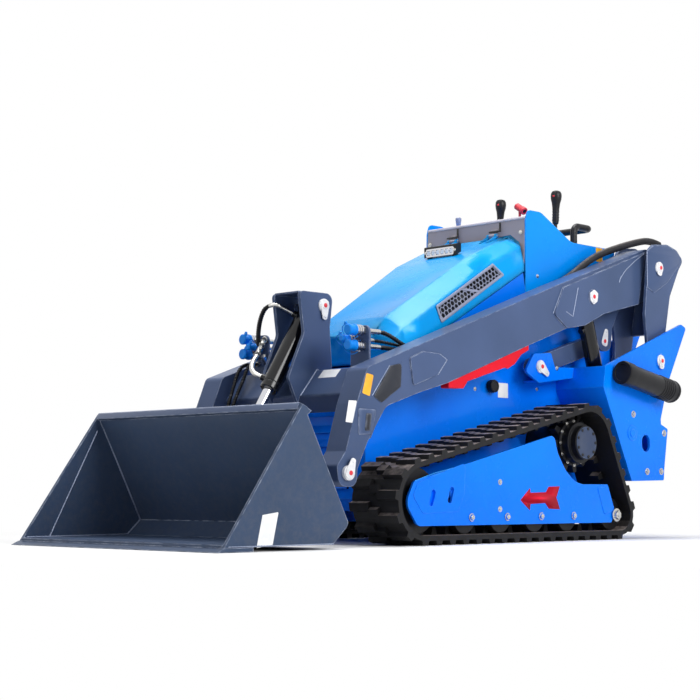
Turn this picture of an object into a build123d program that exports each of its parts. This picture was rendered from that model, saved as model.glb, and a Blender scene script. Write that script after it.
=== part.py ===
"""Compact tracked loader with vertical-lift arms and a bucket, as separate named pieces.

Millimetres. X runs across the machine with +X to its left, Y runs rearwards, so the
bucket points to -Y, and Z is up with the ground at 0. Side views are lists of (y, z)
corners, and a third number in a corner is its rounding radius. All the pieces are drawn
about the middle of the tracks and moved together at the end, so that the origin lies
under the middle of the machine's box.
"""

import os
from math import acos, atan2, ceil, cos, degrees, hypot, pi, radians, sin, tan

from build123d import *

os.makedirs("parts", exist_ok=True)

# Gaps
RUN_GAP = 6.0            # between pieces that move past each other
PIN_GAP = 0.05           # radial clearance of a pin in its bore

# Rubber tracks
TRACK_X = 429.0          # middle of a track
TRACK_WIDTH = 230.0
TRACK_GAP = 38.0         # from a track to the side panel
TRACK_PITCHES = 44
BELT_OUT = 15.0          # from the pitch line out to the belt's face
BELT_IN = 3.0            # from the pitch line in to the belt's inner face
LUG_HEIGHT = 16.0
LUG_BASE = 34.0
LUG_TOP = 24.0
HORN_HEIGHT = 27.0
HORN_BASE = 30.0
HORN_TOP = 18.0
HORN_WIDTH = 44.0

# Wheels of the tracks: (y, z) of the axles
IDLER_PITCH_R = 126.0
IDLER = (-566.0, IDLER_PITCH_R + BELT_OUT + LUG_HEIGHT)
SPROCKET = (406.0, 384.0)
SPROCKET_TEETH = 11
SPROCKET_PITCH_R = 126.0
REAR_WHEEL_PITCH_R = 69.0
REAR_WHEEL = (598.0, REAR_WHEEL_PITCH_R + BELT_OUT + LUG_HEIGHT)
ROLLER_Z = 96.0
ROLLER_Y = (-297.0, -93.0, 110.0, 313.0)
WHEEL_GAP = 1.8          # between a wheel's rim and the belt's facets
WHEEL_WIDTH = 120.0
WHEEL_GROOVE = 58.0

# Track frames
FRAME_HALF = 94.0
FRAME_OUT_X = TRACK_X + FRAME_HALF   # outer face of the outer plate
FRAME_IN_X = TRACK_X - FRAME_HALF + 1
FRAME_PLATE = 10.0
FRAME_EMBOSS = 2.0       # raised pads on the outer plate

# Chassis
SIDE_X = TRACK_X - TRACK_WIDTH / 2 - TRACK_GAP   # outer face of the side panels
SHEET = 6.0
FLOOR_Z = 118.0
NOSE_Y = -600.0
DECK_Z = 470.0           # where the front wall bends back into the deck
DECK_Y = -505.0          # where the deck meets the line of the hood
EAR_FOOT_Z = 1000.0      # joint between a side panel and the console's ear
EAR_FOOT_Y = 760.0
SHELF_Z = 646.0          # top of the rear wall, where the console's leg panel stands
CHASSIS_REAR_Y = 872.0
TAIL_Y = 650.0           # where the floor starts to rise
TAIL_Z = 226.0           # underside at the rear wall

# Lift arms
ARM_GAP = 68.0           # from a side panel to the arm
ARM_WIDTH = 100.0
ARM_IN_X = SIDE_X + ARM_GAP
ARM_OUT_X = ARM_IN_X + ARM_WIDTH
ARM_PLATE = 8.0

# Links
LINK_PLATE = 14.0
REAR_LINK_IN_X = ARM_IN_X - 38.0
REAR_LINK_OUT_X = ARM_OUT_X + 42.0
CONTROL_THICK = 34.0
CONTROL_OUT_X = ARM_IN_X - 8.0
CONTROL_IN_X = CONTROL_OUT_X - CONTROL_THICK
CONTROL_DEPTH = 74.0

# Towers
TOWER_IN_X = SIDE_X
TOWER_OUT_X = REAR_LINK_OUT_X + 34.0
TOWER_PLATE = 12.0

# Pins of the lift linkage: (y, z)
REAR_LINK_FOOT = (923.0, 739.0)
REAR_LINK_HEAD = (970.0, 1142.0)
CONTROL_FOOT = (320.0, 692.0)
CONTROL_HEAD = (758.0, 823.0)
LIFT_FOOT = (715.0, 430.0)
LIFT_HEAD = (548.0, 986.0)
BUCKET_PIN = (-859.0, 255.0)
TILT_TOP = (-623.0, 887.0)
TILT_EYE = (-890.0, 470.0)
PIN_R = 17.5

# Cylinders
LIFT_X = (ARM_IN_X + ARM_OUT_X) / 2
LIFT_BARREL_R = 33.0
LIFT_ROD_R = 19.0
LIFT_MAX = 944.0         # eye to eye with the arms up
LIFT_SPARE = 78.0        # rod that shows between the barrel and the head pin when it is closed
TILT_BARREL_R = 34.0
TILT_ROD_R = 18.0
TILT_MIN = 424.0
TILT_MAX = 720.0
TILT_SPARE = 41.0
PORT_R = 13.0
PORT_REACH = 12.0         # how far a port stands out of its barrel
BARREL_WALL = 7.0
GLAND_DEPTH = 16.0
PISTON_LENGTH = 24.0

# Bucket
BUCKET_HALF = TRACK_X + TRACK_WIDTH / 2 + 22.5
BUCKET_SIDE = 12.0
BUCKET_PLATE = 10.0
EDGE_TIP = (-1555.0, 0.0)
EDGE_LENGTH = 150.0
EDGE_THICK = 14.0
EDGE_BEVEL = 32.0        # from the tip back to its full thickness
EDGE_PROUD = 6.0         # past the side plates
BUCKET_HEEL = (-1044.0, 17.0)
BUCKET_BEND = (-972.0, 81.0)
BUCKET_TOP_REAR = (-1164.0, 443.0)
BUCKET_TOP_FRONT = (-1186.0, 479.0)

# Coupler plate between arms and bucket
COUPLER_HALF = ARM_IN_X - 10.0
COUPLER_PLATE = 14.0
COUPLER_EAR = 30.0

# Auxiliary hydraulic couplers, on a bracket at each end of the cross tube
AUX_PLATE_Y = -626.0     # front face of the brackets
AUX_PLATE = 8.0
AUX_PLATE_X = (SIDE_X - 50.0, SIDE_X + 46.0)
AUX_TOP = 797.0
AUX_COUPLERS = ((SIDE_X + 14.0, 778.0), (SIDE_X + 14.0, 721.0))   # (x, z) of the two pressure lines
AUX_DRAIN = (SIDE_X - 18.0, 748.0)
AUX_R = 14.0
AUX_LENGTH = 26.0
AUX_BODY_R = 19.0
AUX_BODY = 44.0
FERRULE = 78.0           # from the bracket's back to the end of a hose's ferrule
AUX_HOSE_R = 7.0
DRAIN_HOSE_R = 5.0

# Sleeve that carries the hoses up the left arm: centres (x, y, z)
SLEEVE_R = 15.0
SLEEVE_X = ARM_IN_X - SLEEVE_R - 1.0
SLEEVE_POINTS = [
    (SLEEVE_X - 6, -318, 731), (SLEEVE_X - 2, -190, 784), (SLEEVE_X - 1, 20, 862), (SLEEVE_X - 3, 240, 947),
    (SLEEVE_X, 440, 1026), (SLEEVE_X, 560, 1082), (SLEEVE_X, 650, 1138), (SLEEVE_X + 5, 735, 1186),
    (SLEEVE_X + 24, 850, 1228), (SLEEVE_X + 43, 962, 1262), (SLEEVE_X + 60, 1050, 1281),
    (SLEEVE_X + 64, 1112, 1266)]

# Hood
# Hoses of the tilt cylinder towards the right bracket: distance of the port, turn of the port to the
# right in degrees, further centres, radius
TILT_HOSES = [
    (56, 30, [(-38, -709, 875), (-50, -750, 893), (-92, -764, 884), (-132, -752, 846), (-172, -727, 806),
              (-206, -698, 766), (-224, -676, 739), (-231, -664, 727)], 7.5),
    (TILT_MIN - TILT_SPARE - 40, 50, [(-60, -850.5, 625.5), (-88, -838, 656), (-114, -786, 700), (-150, -736, 730),
                                      (-182, -698, 752), (-206, -674, 766), (-216, -664, 771)], 8.5),
]

# Lines from the right bracket down inside the right arm: centres, radius
FRONT_LINES = [
    ([(-302, AUX_PLATE_Y - 20, 684), (-302, -676, 682), (-300, -708, 664), (-294, -732, 628), (-290, -752, 580),
      (-290, -774, 522), (-290, -792, 472), (-293, -806, 430), (-306, -812, 402), (20 - ARM_IN_X, -812, 394)], 6.0),
    ([(-272, AUX_PLATE_Y - 20, 684), (-270, -676, 682), (-264, -704, 660), (-260, -724, 618), (-260, -748, 576),
      (-258, -772, 528), (-258, -796, 480), (-268, -816, 440), (-292, -830, 404), (20 - ARM_IN_X, -834, 388)], 6.0),
]
LINE_STARTS = [((-243, AUX_PLATE_Y, 694), (-236, AUX_PLATE_Y - 20, 713), 7.5),
               ((-246, AUX_PLATE_Y, 782), (-228, AUX_PLATE_Y - 20, 775), 8.5)]

HOOD_HALF = SIDE_X + 6.0   # at the crease along its side
HOOD_LEAN = 20.0         # how far the side leans in above the crease
HOOD_KNEE = 0.62         # share of its height where the side turns over to the top
HOOD_TOP_HALF = 196.0
HOOD_REAR_Y = 318.0
HOOD_NOSE_Y = -425.0
HOOD_SHEET = 5.0
HOOD_SKIRT = 30.0
HOOD_HINGE = (322.0, 1250.0)
HOOD_HINGE_X = 110.0     # middle of each of the two hinges
HOOD_KNUCKLE_R = 8.0
HOOD_PIN_R = 4.0
CREASE_SLOPE = 0.553
CREASE_REAR = (300.0, 1107.0)

# Grilles in the hood's sides: corners as (along the crease, up the side)
VENT = [(-208.0, 6.0), (216.0, 16.0), (194.0, 70.0), (-192.0, 62.0)]
VENT_RIM = 9.0
CELL_R = 10.5
CELL_WEB = 3.6

# Console
CONSOLE_REAR_Y = 944.0
DASH_Z = 1222.0          # flat top in front of the operator
CONSOLE_TOP = ((352.0, DASH_Z + 78), (640.0, DASH_Z), (CONSOLE_REAR_Y - 4, DASH_Z))

# Platform
PLATFORM_HALF = SIDE_X - 51.0
PLATFORM_LENGTH = 330.0
PLATFORM_THICK = 34.0
PLATFORM_HINGE = (908.0, 236.0)
PLATFORM_PIN_R = 9.0

nodes = {}


def outline(corners):
    """Flat face from (a, b) or (a, b, radius) corners, with true arcs at the rounded ones."""
    count = len(corners)
    edges = []
    stretches = []
    for i, corner in enumerate(corners):
        here = Vector(corner[0], corner[1])
        before = Vector(*corners[i - 1][:2])
        after = Vector(*corners[(i + 1) % count][:2])
        radius = corner[2] if len(corner) > 2 else 0.0
        if radius <= 0:
            stretches.append((here, None, here))
            continue
        to_before = (before - here).normalized()
        to_after = (after - here).normalized()
        half = radians(to_before.get_angle(to_after)) / 2
        reach = radius / tan(half)
        bisector = (to_before + to_after).normalized()
        middle = here + bisector * (radius / sin(half) - radius)
        stretches.append((here + to_before * reach, middle, here + to_after * reach))
    for i, (start, middle, end) in enumerate(stretches):
        if middle is not None:
            edges.append(ThreePointArc(start, middle, end))
        following = stretches[(i + 1) % count][0]
        if (following - end).length > 1e-6:
            edges.append(Line(end, following))
    return make_face(edges)


def slab(corners, x0, x1):
    """Plate with the side outline `corners`, from x0 to x1."""
    return extrude(Plane.YZ.offset(x0) * outline(corners), amount=x1 - x0)


def strip(points, thickness):
    """Corners of a bent sheet: the points, and the same line `thickness` to its left."""
    count = len(points)
    shifted = []
    for i in range(count):
        sides = []
        for a, b in ((i - 1, i), (i, i + 1)):
            if a < 0 or b >= count:
                continue
            dy = points[b][0] - points[a][0]
            dz = points[b][1] - points[a][1]
            length = hypot(dy, dz)
            sides.append((-dz / length, dy / length))
        ny = sum(side[0] for side in sides)
        nz = sum(side[1] for side in sides)
        scale = thickness * len(sides) / (ny * ny + nz * nz)
        shifted.append((points[i][0] + ny * scale, points[i][1] + nz * scale))
    return list(points) + shifted[::-1]


def shaft(centre, radius, x0, x1):
    """Round bar along X through the (y, z) point `centre`."""
    face = Plane.YZ.offset(x0) * (Pos(centre[0], centre[1]) * Circle(radius))
    return extrude(face, amount=x1 - x0)


def spindle(x, z, radius, y0, y1):
    """Round bar along Y."""
    return extrude(Plane(origin=(x, y0, z), z_dir=(0, 1, 0)) * Circle(radius), amount=y1 - y0)


def block(x, y, z):
    """Box from three (low, high) pairs."""
    return Pos((x[0] + x[1]) / 2, (y[0] + y[1]) / 2, (z[0] + z[1]) / 2) * Box(
        x[1] - x[0], y[1] - y[0], z[1] - z[0])


def other_side(shape):
    """The same piece on the machine's right."""
    return mirror(shape, about=Plane.YZ)


def along(a, b, distance):
    """Point at `distance` from a towards b."""
    length = hypot(b[0] - a[0], b[1] - a[1])
    return (a[0] + (b[0] - a[0]) * distance / length, a[1] + (b[1] - a[1]) * distance / length)


def direction(a, b):
    """Angle in degrees of the line from a to b, from +Y towards +Z."""
    return degrees(atan2(b[1] - a[1], b[0] - a[0]))


def gap_between(a, b):
    return hypot(b[0] - a[0], b[1] - a[1])


def tube_route(points, radius):
    """Hose along straight runs joined by arcs as wide as the runs allow."""
    radii = []
    for before, here, after in zip(points, points[1:], points[2:]):
        incoming = Vector(*here) - Vector(*before)
        outgoing = Vector(*after) - Vector(*here)
        half = radians(incoming.get_angle(outgoing)) / 2
        radii.append(0.45 * min(incoming.length, outgoing.length) / tan(half))
    path = FilletPolyline(*points, radius=radii)
    hose = sweep(Plane(origin=path @ 0, z_dir=path % 0) * Circle(radius), path=path)
    print(f"hose of radius {radius:.0f}: length {path.length:.1f}, radii {[round(r) for r in radii]},"
          f" volume share {hose.volume / (pi * radius ** 2 * path.length):.4f}")
    return hose


def pair(name, shape):
    """Store a piece and its mirror image as two nodes."""
    nodes[name + "_left"] = shape
    nodes[name + "_right"] = other_side(shape)


# Track belts


def belt_path():
    """Arcs and straight runs of the pitch line, over the top from the idler and back below."""
    wheels = [(IDLER, IDLER_PITCH_R), (SPROCKET, SPROCKET_PITCH_R), (REAR_WHEEL, REAR_WHEEL_PITCH_R)]
    normals = []
    for i, (centre, radius) in enumerate(wheels):
        following, next_radius = wheels[(i + 1) % 3]
        run = radians(direction(centre, following))
        normals.append(run + acos((radius - next_radius) / gap_between(centre, following)))
    pieces = []
    for i, (centre, radius) in enumerate(wheels):
        turn = (normals[i - 1] - normals[i]) % (2 * pi)
        pieces.append(("arc", centre, radius, normals[i - 1], turn * radius))
        following, next_radius = wheels[(i + 1) % 3]
        normal = normals[i]
        start = (centre[0] + radius * cos(normal), centre[1] + radius * sin(normal))
        end = (following[0] + next_radius * cos(normal), following[1] + next_radius * sin(normal))
        pieces.append(("run", start, 0.0, normal, gap_between(start, end)))
    return pieces


BELT_PIECES = belt_path()
BELT_LENGTH = sum(piece[4] for piece in BELT_PIECES)
BELT_PITCH = BELT_LENGTH / TRACK_PITCHES


def belt_point(travel, offset):
    """Point at `travel` along the pitch line, moved `offset` outwards."""
    travel %= BELT_LENGTH
    for kind, start, radius, normal, length in BELT_PIECES:
        if travel <= length:
            break
        travel -= length
    if kind == "arc":
        angle = normal - travel / radius
        reach = radius + offset
        return (start[0] + reach * cos(angle), start[1] + reach * sin(angle))
    heading = normal - pi / 2
    return (start[0] + travel * cos(heading) + offset * cos(normal),
            start[1] + travel * sin(heading) + offset * sin(normal))


def belt_loop(phase, rise, base, top, offset):
    """Closed line of the belt's face with one trapezoid per pitch standing `rise` off it."""
    points = []
    for k in range(TRACK_PITCHES):
        middle = (k + phase) * BELT_PITCH
        points.append(belt_point(middle - base / 2, offset))
        if rise:
            points.append(belt_point(middle - top / 2, offset + rise))
            points.append(belt_point(middle + top / 2, offset + rise))
        points.append(belt_point(middle + base / 2, offset))
        points.append(belt_point(middle + BELT_PITCH / 2, offset))
    return points


def belt_band(phase, horns, x0, x1):
    """Part of a belt's width: lugs outside and, where `horns` is set, guide horns inside."""
    outside = belt_loop(phase, LUG_HEIGHT, LUG_BASE, LUG_TOP, BELT_OUT)
    inside = belt_loop(0.0, -HORN_HEIGHT if horns else 0.0, HORN_BASE, HORN_TOP, -BELT_IN)
    face = outline(outside) - outline(inside)
    return extrude(Plane.YZ.offset(x0) * face, amount=x1 - x0)


def build_track():
    low = TRACK_X - TRACK_WIDTH / 2
    high = TRACK_X + TRACK_WIDTH / 2
    bands = [
        (0.5, False, low, TRACK_X - HORN_WIDTH / 2),
        (0.25, True, TRACK_X - HORN_WIDTH / 2, TRACK_X + HORN_WIDTH / 2),
        (0.0, False, TRACK_X + HORN_WIDTH / 2, high),
    ]
    belt = belt_band(*bands[0])
    for band in bands[1:]:
        belt += belt_band(*band)
    return belt


# Wheels inside the tracks


def wheel(centre, radius, groove_r):
    """Double-flanged wheel that leaves room for the guide horns."""
    low = TRACK_X - WHEEL_WIDTH / 2
    high = TRACK_X + WHEEL_WIDTH / 2
    body = shaft(centre, radius, low, TRACK_X - WHEEL_GROOVE / 2)
    body += shaft(centre, groove_r, TRACK_X - WHEEL_GROOVE / 2, TRACK_X + WHEEL_GROOVE / 2)
    body += shaft(centre, radius, TRACK_X + WHEEL_GROOVE / 2, high)
    return body


def axle(centre, radius):
    """Axle between the two plates of a track frame, with its bolt head outside."""
    bar = shaft(centre, radius, FRAME_IN_X + FRAME_PLATE, FRAME_OUT_X - FRAME_PLATE)
    return bar


def bolt_head(centre, radius, x0, length):
    hexagon = Pos(centre[0], centre[1]) * RegularPolygon(radius, 6)
    return extrude(Plane.YZ.offset(x0) * hexagon, amount=length)


def build_rollers():
    """Idler, four bottom rollers and the rear wheel of one track, each on its axle."""
    inner = IDLER_PITCH_R - BELT_IN - WHEEL_GAP
    wheels = [wheel(IDLER, inner, inner - HORN_HEIGHT - 4) + axle(IDLER, 28)]
    bottom = IDLER[1] - IDLER_PITCH_R + BELT_IN
    roller_r = ROLLER_Z - bottom - WHEEL_GAP
    for y in ROLLER_Y:
        centre = (y, ROLLER_Z)
        wheels.append(wheel(centre, roller_r, roller_r - HORN_HEIGHT - 3) + axle(centre, 18))
    rear = REAR_WHEEL_PITCH_R - BELT_IN - WHEEL_GAP
    wheels.append(wheel(REAR_WHEEL, rear, rear - HORN_HEIGHT - 3) + axle(REAR_WHEEL, 20))
    return wheels


def build_sprocket():
    """Toothed drive ring, hub motor and the bolted hub cover."""
    tip = SPROCKET_PITCH_R - BELT_IN - 4.0
    root = SPROCKET_PITCH_R - BELT_IN - HORN_HEIGHT - 6.0
    arc = BELT_PIECES[0][4] + BELT_PIECES[1][4]
    first_horn = ceil(arc / BELT_PITCH) * BELT_PITCH - arc
    start_angle = BELT_PIECES[2][3] - (first_horn + BELT_PITCH / 2) / SPROCKET_PITCH_R
    points = []
    for k in range(SPROCKET_TEETH):
        middle = start_angle - k * 2 * pi / SPROCKET_TEETH
        for reach, half in ((root, 0.155), (tip, 0.075), (tip, -0.075), (root, -0.155)):
            angle = middle + half
            points.append((SPROCKET[0] + reach * cos(angle), SPROCKET[1] + reach * sin(angle)))
    teeth = slab(points, TRACK_X - 17, TRACK_X + 17)
    motor = shaft(SPROCKET, 84, SIDE_X, TRACK_X - 17)
    flange = shaft(SPROCKET, 92, TRACK_X + 17, TRACK_X + 29)
    drum = shaft(SPROCKET, 82, TRACK_X + 29, TRACK_X + 62)
    cover = shaft(SPROCKET, 68, TRACK_X + 62, FRAME_OUT_X - 4)
    body = teeth + motor + flange + drum + cover
    for k in range(9):
        angle = 2 * pi * k / 9
        spot = (SPROCKET[0] + 56 * cos(angle), SPROCKET[1] + 56 * sin(angle))
        body += shaft(spot, 6, FRAME_OUT_X - 4, FRAME_OUT_X + 1)
    return body


# Track frames

FRAME_OUTLINE = [(-603, 228, 20), (196, 410, 26), (218, 339, 60), (266, 273, 90), (325, 229, 90), (375, 219, 60),
                 (539, 219, 8), (588, 106, 14), (560, 66, 8), (-585, 68, 30), (-647, 150, 50)]

FRAME_RAIL = [(-540, 240), (-548, 262, 6), (-290, 322), (-262, 296, 20), (-150, 322, 20), (-122, 362), (140, 424, 10),
              (150, 390), (150, 330), (-300, 240)]
FRAME_NOSE_PAD = [(-612, 176, 26), (-585, 222, 20), (-330, 296, 14), (-336, 180, 30), (-372, 118, 16), (-560, 112, 20)]
FRAME_TAIL_PAD = [(468, 208, 8), (534, 208, 8), (574, 112, 10), (512, 100, 10)]
FRAME_SLOTS = [(-510, 168), (-410, 178)]


def build_track_frame():
    """Two side plates, the beam between them and the arms that carry it on the chassis."""
    outer = slab(FRAME_OUTLINE, FRAME_OUT_X - FRAME_PLATE, FRAME_OUT_X)
    inner = slab(FRAME_OUTLINE, FRAME_IN_X, FRAME_IN_X + FRAME_PLATE)
    inner += slab(FRAME_RAIL, FRAME_IN_X, FRAME_IN_X + FRAME_PLATE)
    inside = (FRAME_IN_X + FRAME_PLATE, FRAME_OUT_X - FRAME_PLATE)
    beam = slab([(-400, 168), (-400, 214), (120, 330), (180, 330), (180, 168)], *inside)
    frame = outer + inner + beam
    frame += slab(FRAME_NOSE_PAD, FRAME_OUT_X, FRAME_OUT_X + FRAME_EMBOSS)
    frame += slab(FRAME_TAIL_PAD, FRAME_OUT_X, FRAME_OUT_X + FRAME_EMBOSS)
    for y, z in FRAME_SLOTS:
        slot = Pos(y, z) * SlotOverall(62, 22, rotation=72)
        frame -= extrude(Plane.YZ.offset(FRAME_OUT_X - FRAME_PLATE) * slot, amount=FRAME_PLATE + FRAME_EMBOSS)
    for y in (-260.0, 150.0):
        frame += block((SIDE_X, FRAME_IN_X), (y - 50, y + 50), (180, 260))
    for y in ROLLER_Y:
        frame += bolt_head((y, ROLLER_Z), 13, FRAME_OUT_X, 8)
    frame += bolt_head((588, ROLLER_Z), 17, FRAME_OUT_X, 12)
    return frame


# Chassis


def crease_z(y):
    """Height of the crease along the hood's side."""
    return CREASE_REAR[1] + CREASE_SLOPE * (y - CREASE_REAR[0])


def panel_top(y):
    return crease_z(y) - HOOD_SKIRT - RUN_GAP


def build_side_panel():
    corners = [(NOSE_Y + 40, FLOOR_Z), (NOSE_Y, FLOOR_Z + 45), (NOSE_Y, DECK_Z), (DECK_Y, panel_top(DECK_Y)),
               (HOOD_REAR_Y, panel_top(HOOD_REAR_Y)), (HOOD_REAR_Y + 14, EAR_FOOT_Z), (EAR_FOOT_Y, EAR_FOOT_Z),
               (CHASSIS_REAR_Y, 900), (CHASSIS_REAR_Y, TAIL_Z), (TAIL_Y, FLOOR_Z)]
    return slab(corners, SIDE_X - SHEET, SIDE_X)


def build_front_panel():
    """Sloped deck and louvred front under the hood's nose."""
    inside = SIDE_X - SHEET
    lip_y = HOOD_NOSE_Y - RUN_GAP
    sheet = strip([(NOSE_Y, FLOOR_Z + 45), (NOSE_Y, DECK_Z), (DECK_Y, panel_top(DECK_Y)),
                   (lip_y, panel_top(lip_y))][::-1], SHEET)
    panel = slab(sheet, -inside, inside)
    louvre = SIDE_X - 86
    for k in range(5):
        z = FLOOR_Z + 82 + 52 * k
        panel -= block((-louvre, louvre), (NOSE_Y - 10, NOSE_Y + 20), (z, z + 22))
        blade = [(NOSE_Y - 16, z + 2), (NOSE_Y - 12, z), (NOSE_Y, z + 22), (NOSE_Y, z + 30)]
        panel += slab(blade, -louvre, louvre)
    return panel


def build_floor():
    inside = SIDE_X - SHEET
    line = [(NOSE_Y + SHEET, FLOOR_Z + 45), (NOSE_Y + 40 + SHEET, FLOOR_Z), (TAIL_Y, FLOOR_Z),
            (CHASSIS_REAR_Y, TAIL_Z), (CHASSIS_REAR_Y, SHELF_Z - SHEET)]
    return slab(strip(line, SHEET), -inside, inside)


TOWER_OUTLINE = [(539, 699), (1084, 905, 8), (1120, 891, 10), (977, 645, 20), (921, 493, 20), (923, 472),
                 (971, 453, 8), (941, 281), (937, 237, 8), (709, 233), (524, 612)]


def tower_front_y(z):
    """Front face of the tower's upper front plate at height z."""
    return 524 + (z - 612) * (539 - 524) / (699 - 612)


def build_tower():
    """Two plates, the sloped front plate and the low rear plate between them."""
    outer_low = TOWER_OUT_X - TOWER_PLATE
    outer = slab(TOWER_OUTLINE, outer_low, TOWER_OUT_X)
    slot = Pos(812, 390) * SlotOverall(71, 57, rotation=90)
    outer -= extrude(Plane.YZ.offset(outer_low) * slot, amount=TOWER_PLATE)
    inner = slab(TOWER_OUTLINE, TOWER_IN_X, TOWER_IN_X + TOWER_PLATE)
    between = (TOWER_IN_X + TOWER_PLATE, outer_low)
    front = slab(strip([(709, 233), (524, 612), (tower_front_y(699), 699)][::-1], 10), *between)
    rear = slab(strip([(930, 246), (912, 470)], 10), *between)
    floor = slab([(709, 233), (715, 243), (925, 247), (937, 237)], *between)
    body = outer + inner + front + rear + floor
    for centre in (REAR_LINK_FOOT, LIFT_FOOT):
        body += shaft(centre, PIN_R, TOWER_IN_X + TOWER_PLATE / 2, TOWER_OUT_X + 6)
        body += shaft(centre, PIN_R + 14, TOWER_OUT_X, TOWER_OUT_X + 3)
    return body + build_control_bracket()


def build_control_bracket():
    """Plate and shelf in front of a tower that carry the control link's foot."""
    corners = [(tower_front_y(699), 699), (tower_front_y(655), 655), (312, 626, 14), (228, 668, 14),
               (281, 742, 16), (392, 752, 14), (416, 694, 10)]
    plate = slab(corners, ARM_IN_X + 2, ARM_IN_X + 14)
    shelf = slab([(312, 630), (312, 638), (tower_front_y(668), 668), (tower_front_y(660), 660)],
                 SIDE_X, ARM_IN_X + 2)
    boss = shaft(CONTROL_FOOT, PIN_R, SIDE_X, ARM_IN_X + 20)
    return plate + shelf + boss


def build_engine():
    """Crankcase, fan shroud, two finned cylinders, air filter, silencer and the pump behind."""
    base = FLOOR_Z + SHEET + 0.3
    engine = block((-150, 150), (-300, 20), (base, 420))
    engine += block((-190, 190), (-340, -240), (base, base + 30)) + block((-190, 190), (-40, 60), (base, base + 30))
    engine += spindle(0, 330, 160, -380, -300) + spindle(0, 330, 60, -420, -380)
    engine += spindle(0, 330, 95, 20, 60) + block((-55, 55), (60, 120), (270, 390))
    for side in (-1, 1):
        for k in range(5):
            x = side * (62 + 18 * k)
            engine += block(sorted((x, x + side * 8)), (-270, -10), (420, 545))
        engine += block(sorted((side * 40, side * 150)), (-255, -25), (415, 530))
    engine += shaft((-140, 585), 54, -170, 170) + block((-30, 30), (-200, -80), (520, 560))
    engine += shaft((70, 480), 46, -160, 160) + block((-120, -90), (10, 70), (400, 460))
    return engine


# Hood


def hood_section(y, top, half_top, inset):
    """Closed line across the hood at y, `inset` inside its outer skin."""
    low = crease_z(y)
    half = HOOD_HALF - inset
    corners = [(half, low - HOOD_SKIRT), (half, low), (half - HOOD_LEAN, low + (top - low) * HOOD_KNEE),
               (half_top, top - inset)]
    mirrored = [(-a, b) for a, b in corners[::-1]]
    points = corners + mirrored
    if inset:
        points = [(a, b - (1.5 * inset if i not in (0, len(points) - 1) else 4 * inset))
                  for i, (a, b) in enumerate(points)]
    face = make_face(Polyline(*points, close=True))
    return Plane(origin=(0, y, 0), x_dir=(1, 0, 0), z_dir=(0, -1, 0)) * face


# Stations along the hood: y, height of the top, half width of the top
HOOD_STATIONS = [(HOOD_REAR_Y, 1238, HOOD_TOP_HALF), (60, 1124, HOOD_TOP_HALF - 6), (-380, 857, HOOD_TOP_HALF - 32),
                 (HOOD_NOSE_Y, 798, HOOD_TOP_HALF - 47)]


def hood_top(y):
    """Height of the hood's top over its rear stretch."""
    (y0, z0, _), (y1, z1, _) = HOOD_STATIONS[:2]
    return z0 + (y - y0) * (z1 - z0) / (y1 - y0)


def build_hood():
    outer = loft([hood_section(y, top, half, 0) for y, top, half in HOOD_STATIONS], ruled=True)
    inner_stations = list(HOOD_STATIONS)
    inner_stations[0] = (HOOD_REAR_Y + 20, 1247, HOOD_TOP_HALF)
    inner_stations[3] = (HOOD_NOSE_Y + HOOD_SHEET, 804, HOOD_TOP_HALF - 46)
    inner = loft([hood_section(y, top, half, HOOD_SHEET) for y, top, half in inner_stations], ruled=True)
    hood = outer - inner
    window = extrude(vent_plane().offset(-25) * outline(VENT), amount=50)
    hood -= window
    hood -= other_side(window)
    y, z = HOOD_HINGE
    leaf = [(264, hood_top(264)), (HOOD_REAR_Y, hood_top(HOOD_REAR_Y)), (y, z - HOOD_KNUCKLE_R),
            (y - 5, z), (264, hood_top(264) + 4)]
    for x in (-HOOD_HINGE_X, HOOD_HINGE_X):
        for x0, x1 in ((x - 26, x - 15), (x + 15, x + 26)):
            knuckle = slab(leaf, x0, x1) + shaft(HOOD_HINGE, HOOD_KNUCKLE_R, x0, x1)
            hood += knuckle - shaft(HOOD_HINGE, HOOD_PIN_R + PIN_GAP, x0 - 1, x1 + 1)
    return hood


def vent_plane():
    """Plane of the hood's left side: x along the crease, z out of the machine."""
    lean = Vector(-HOOD_LEAN, 0, (hood_top(0) - crease_z(0)) * HOOD_KNEE)
    run = Vector(0, 1, CREASE_SLOPE)
    return Plane(origin=(HOOD_HALF, 0, crease_z(0)), x_dir=run, z_dir=run.cross(lean))


def clear_of_rim(u, v, margin):
    """True where (u, v) lies at least `margin` inside the vent's outline."""
    for (u0, v0), (u1, v1) in zip(VENT, VENT[1:] + VENT[:1]):
        side = (u1 - u0) * (v - v0) - (v1 - v0) * (u - u0)
        if side / hypot(u1 - u0, v1 - v0) < margin:
            return False
    return True


def build_hood_grille():
    """Flanged frame with a honeycomb of through holes in two fields, in the hood's left side."""
    plug = offset(outline(VENT), amount=-0.4)
    rim = offset(outline(VENT), amount=VENT_RIM) - offset(outline(VENT), amount=-6.0)
    pitch = 2 * CELL_R * cos(radians(30)) + CELL_WEB
    row = pitch * sin(radians(60))
    for j in range(8):
        v = j * row
        for i in range(-12, 13):
            u = i * pitch + (j % 2) * pitch / 2
            divider = abs(u - 4 + 0.6 * (v - 38))
            if divider > CELL_R + 5 and clear_of_rim(u, v, CELL_R + 3.5):
                plug -= Pos(u, v) * RegularPolygon(CELL_R, 6, rotation=30)
    side = vent_plane()
    return extrude(side.offset(-4.7) * plug, amount=5) + extrude(side.offset(0.3) * rim, amount=3.5)


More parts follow.
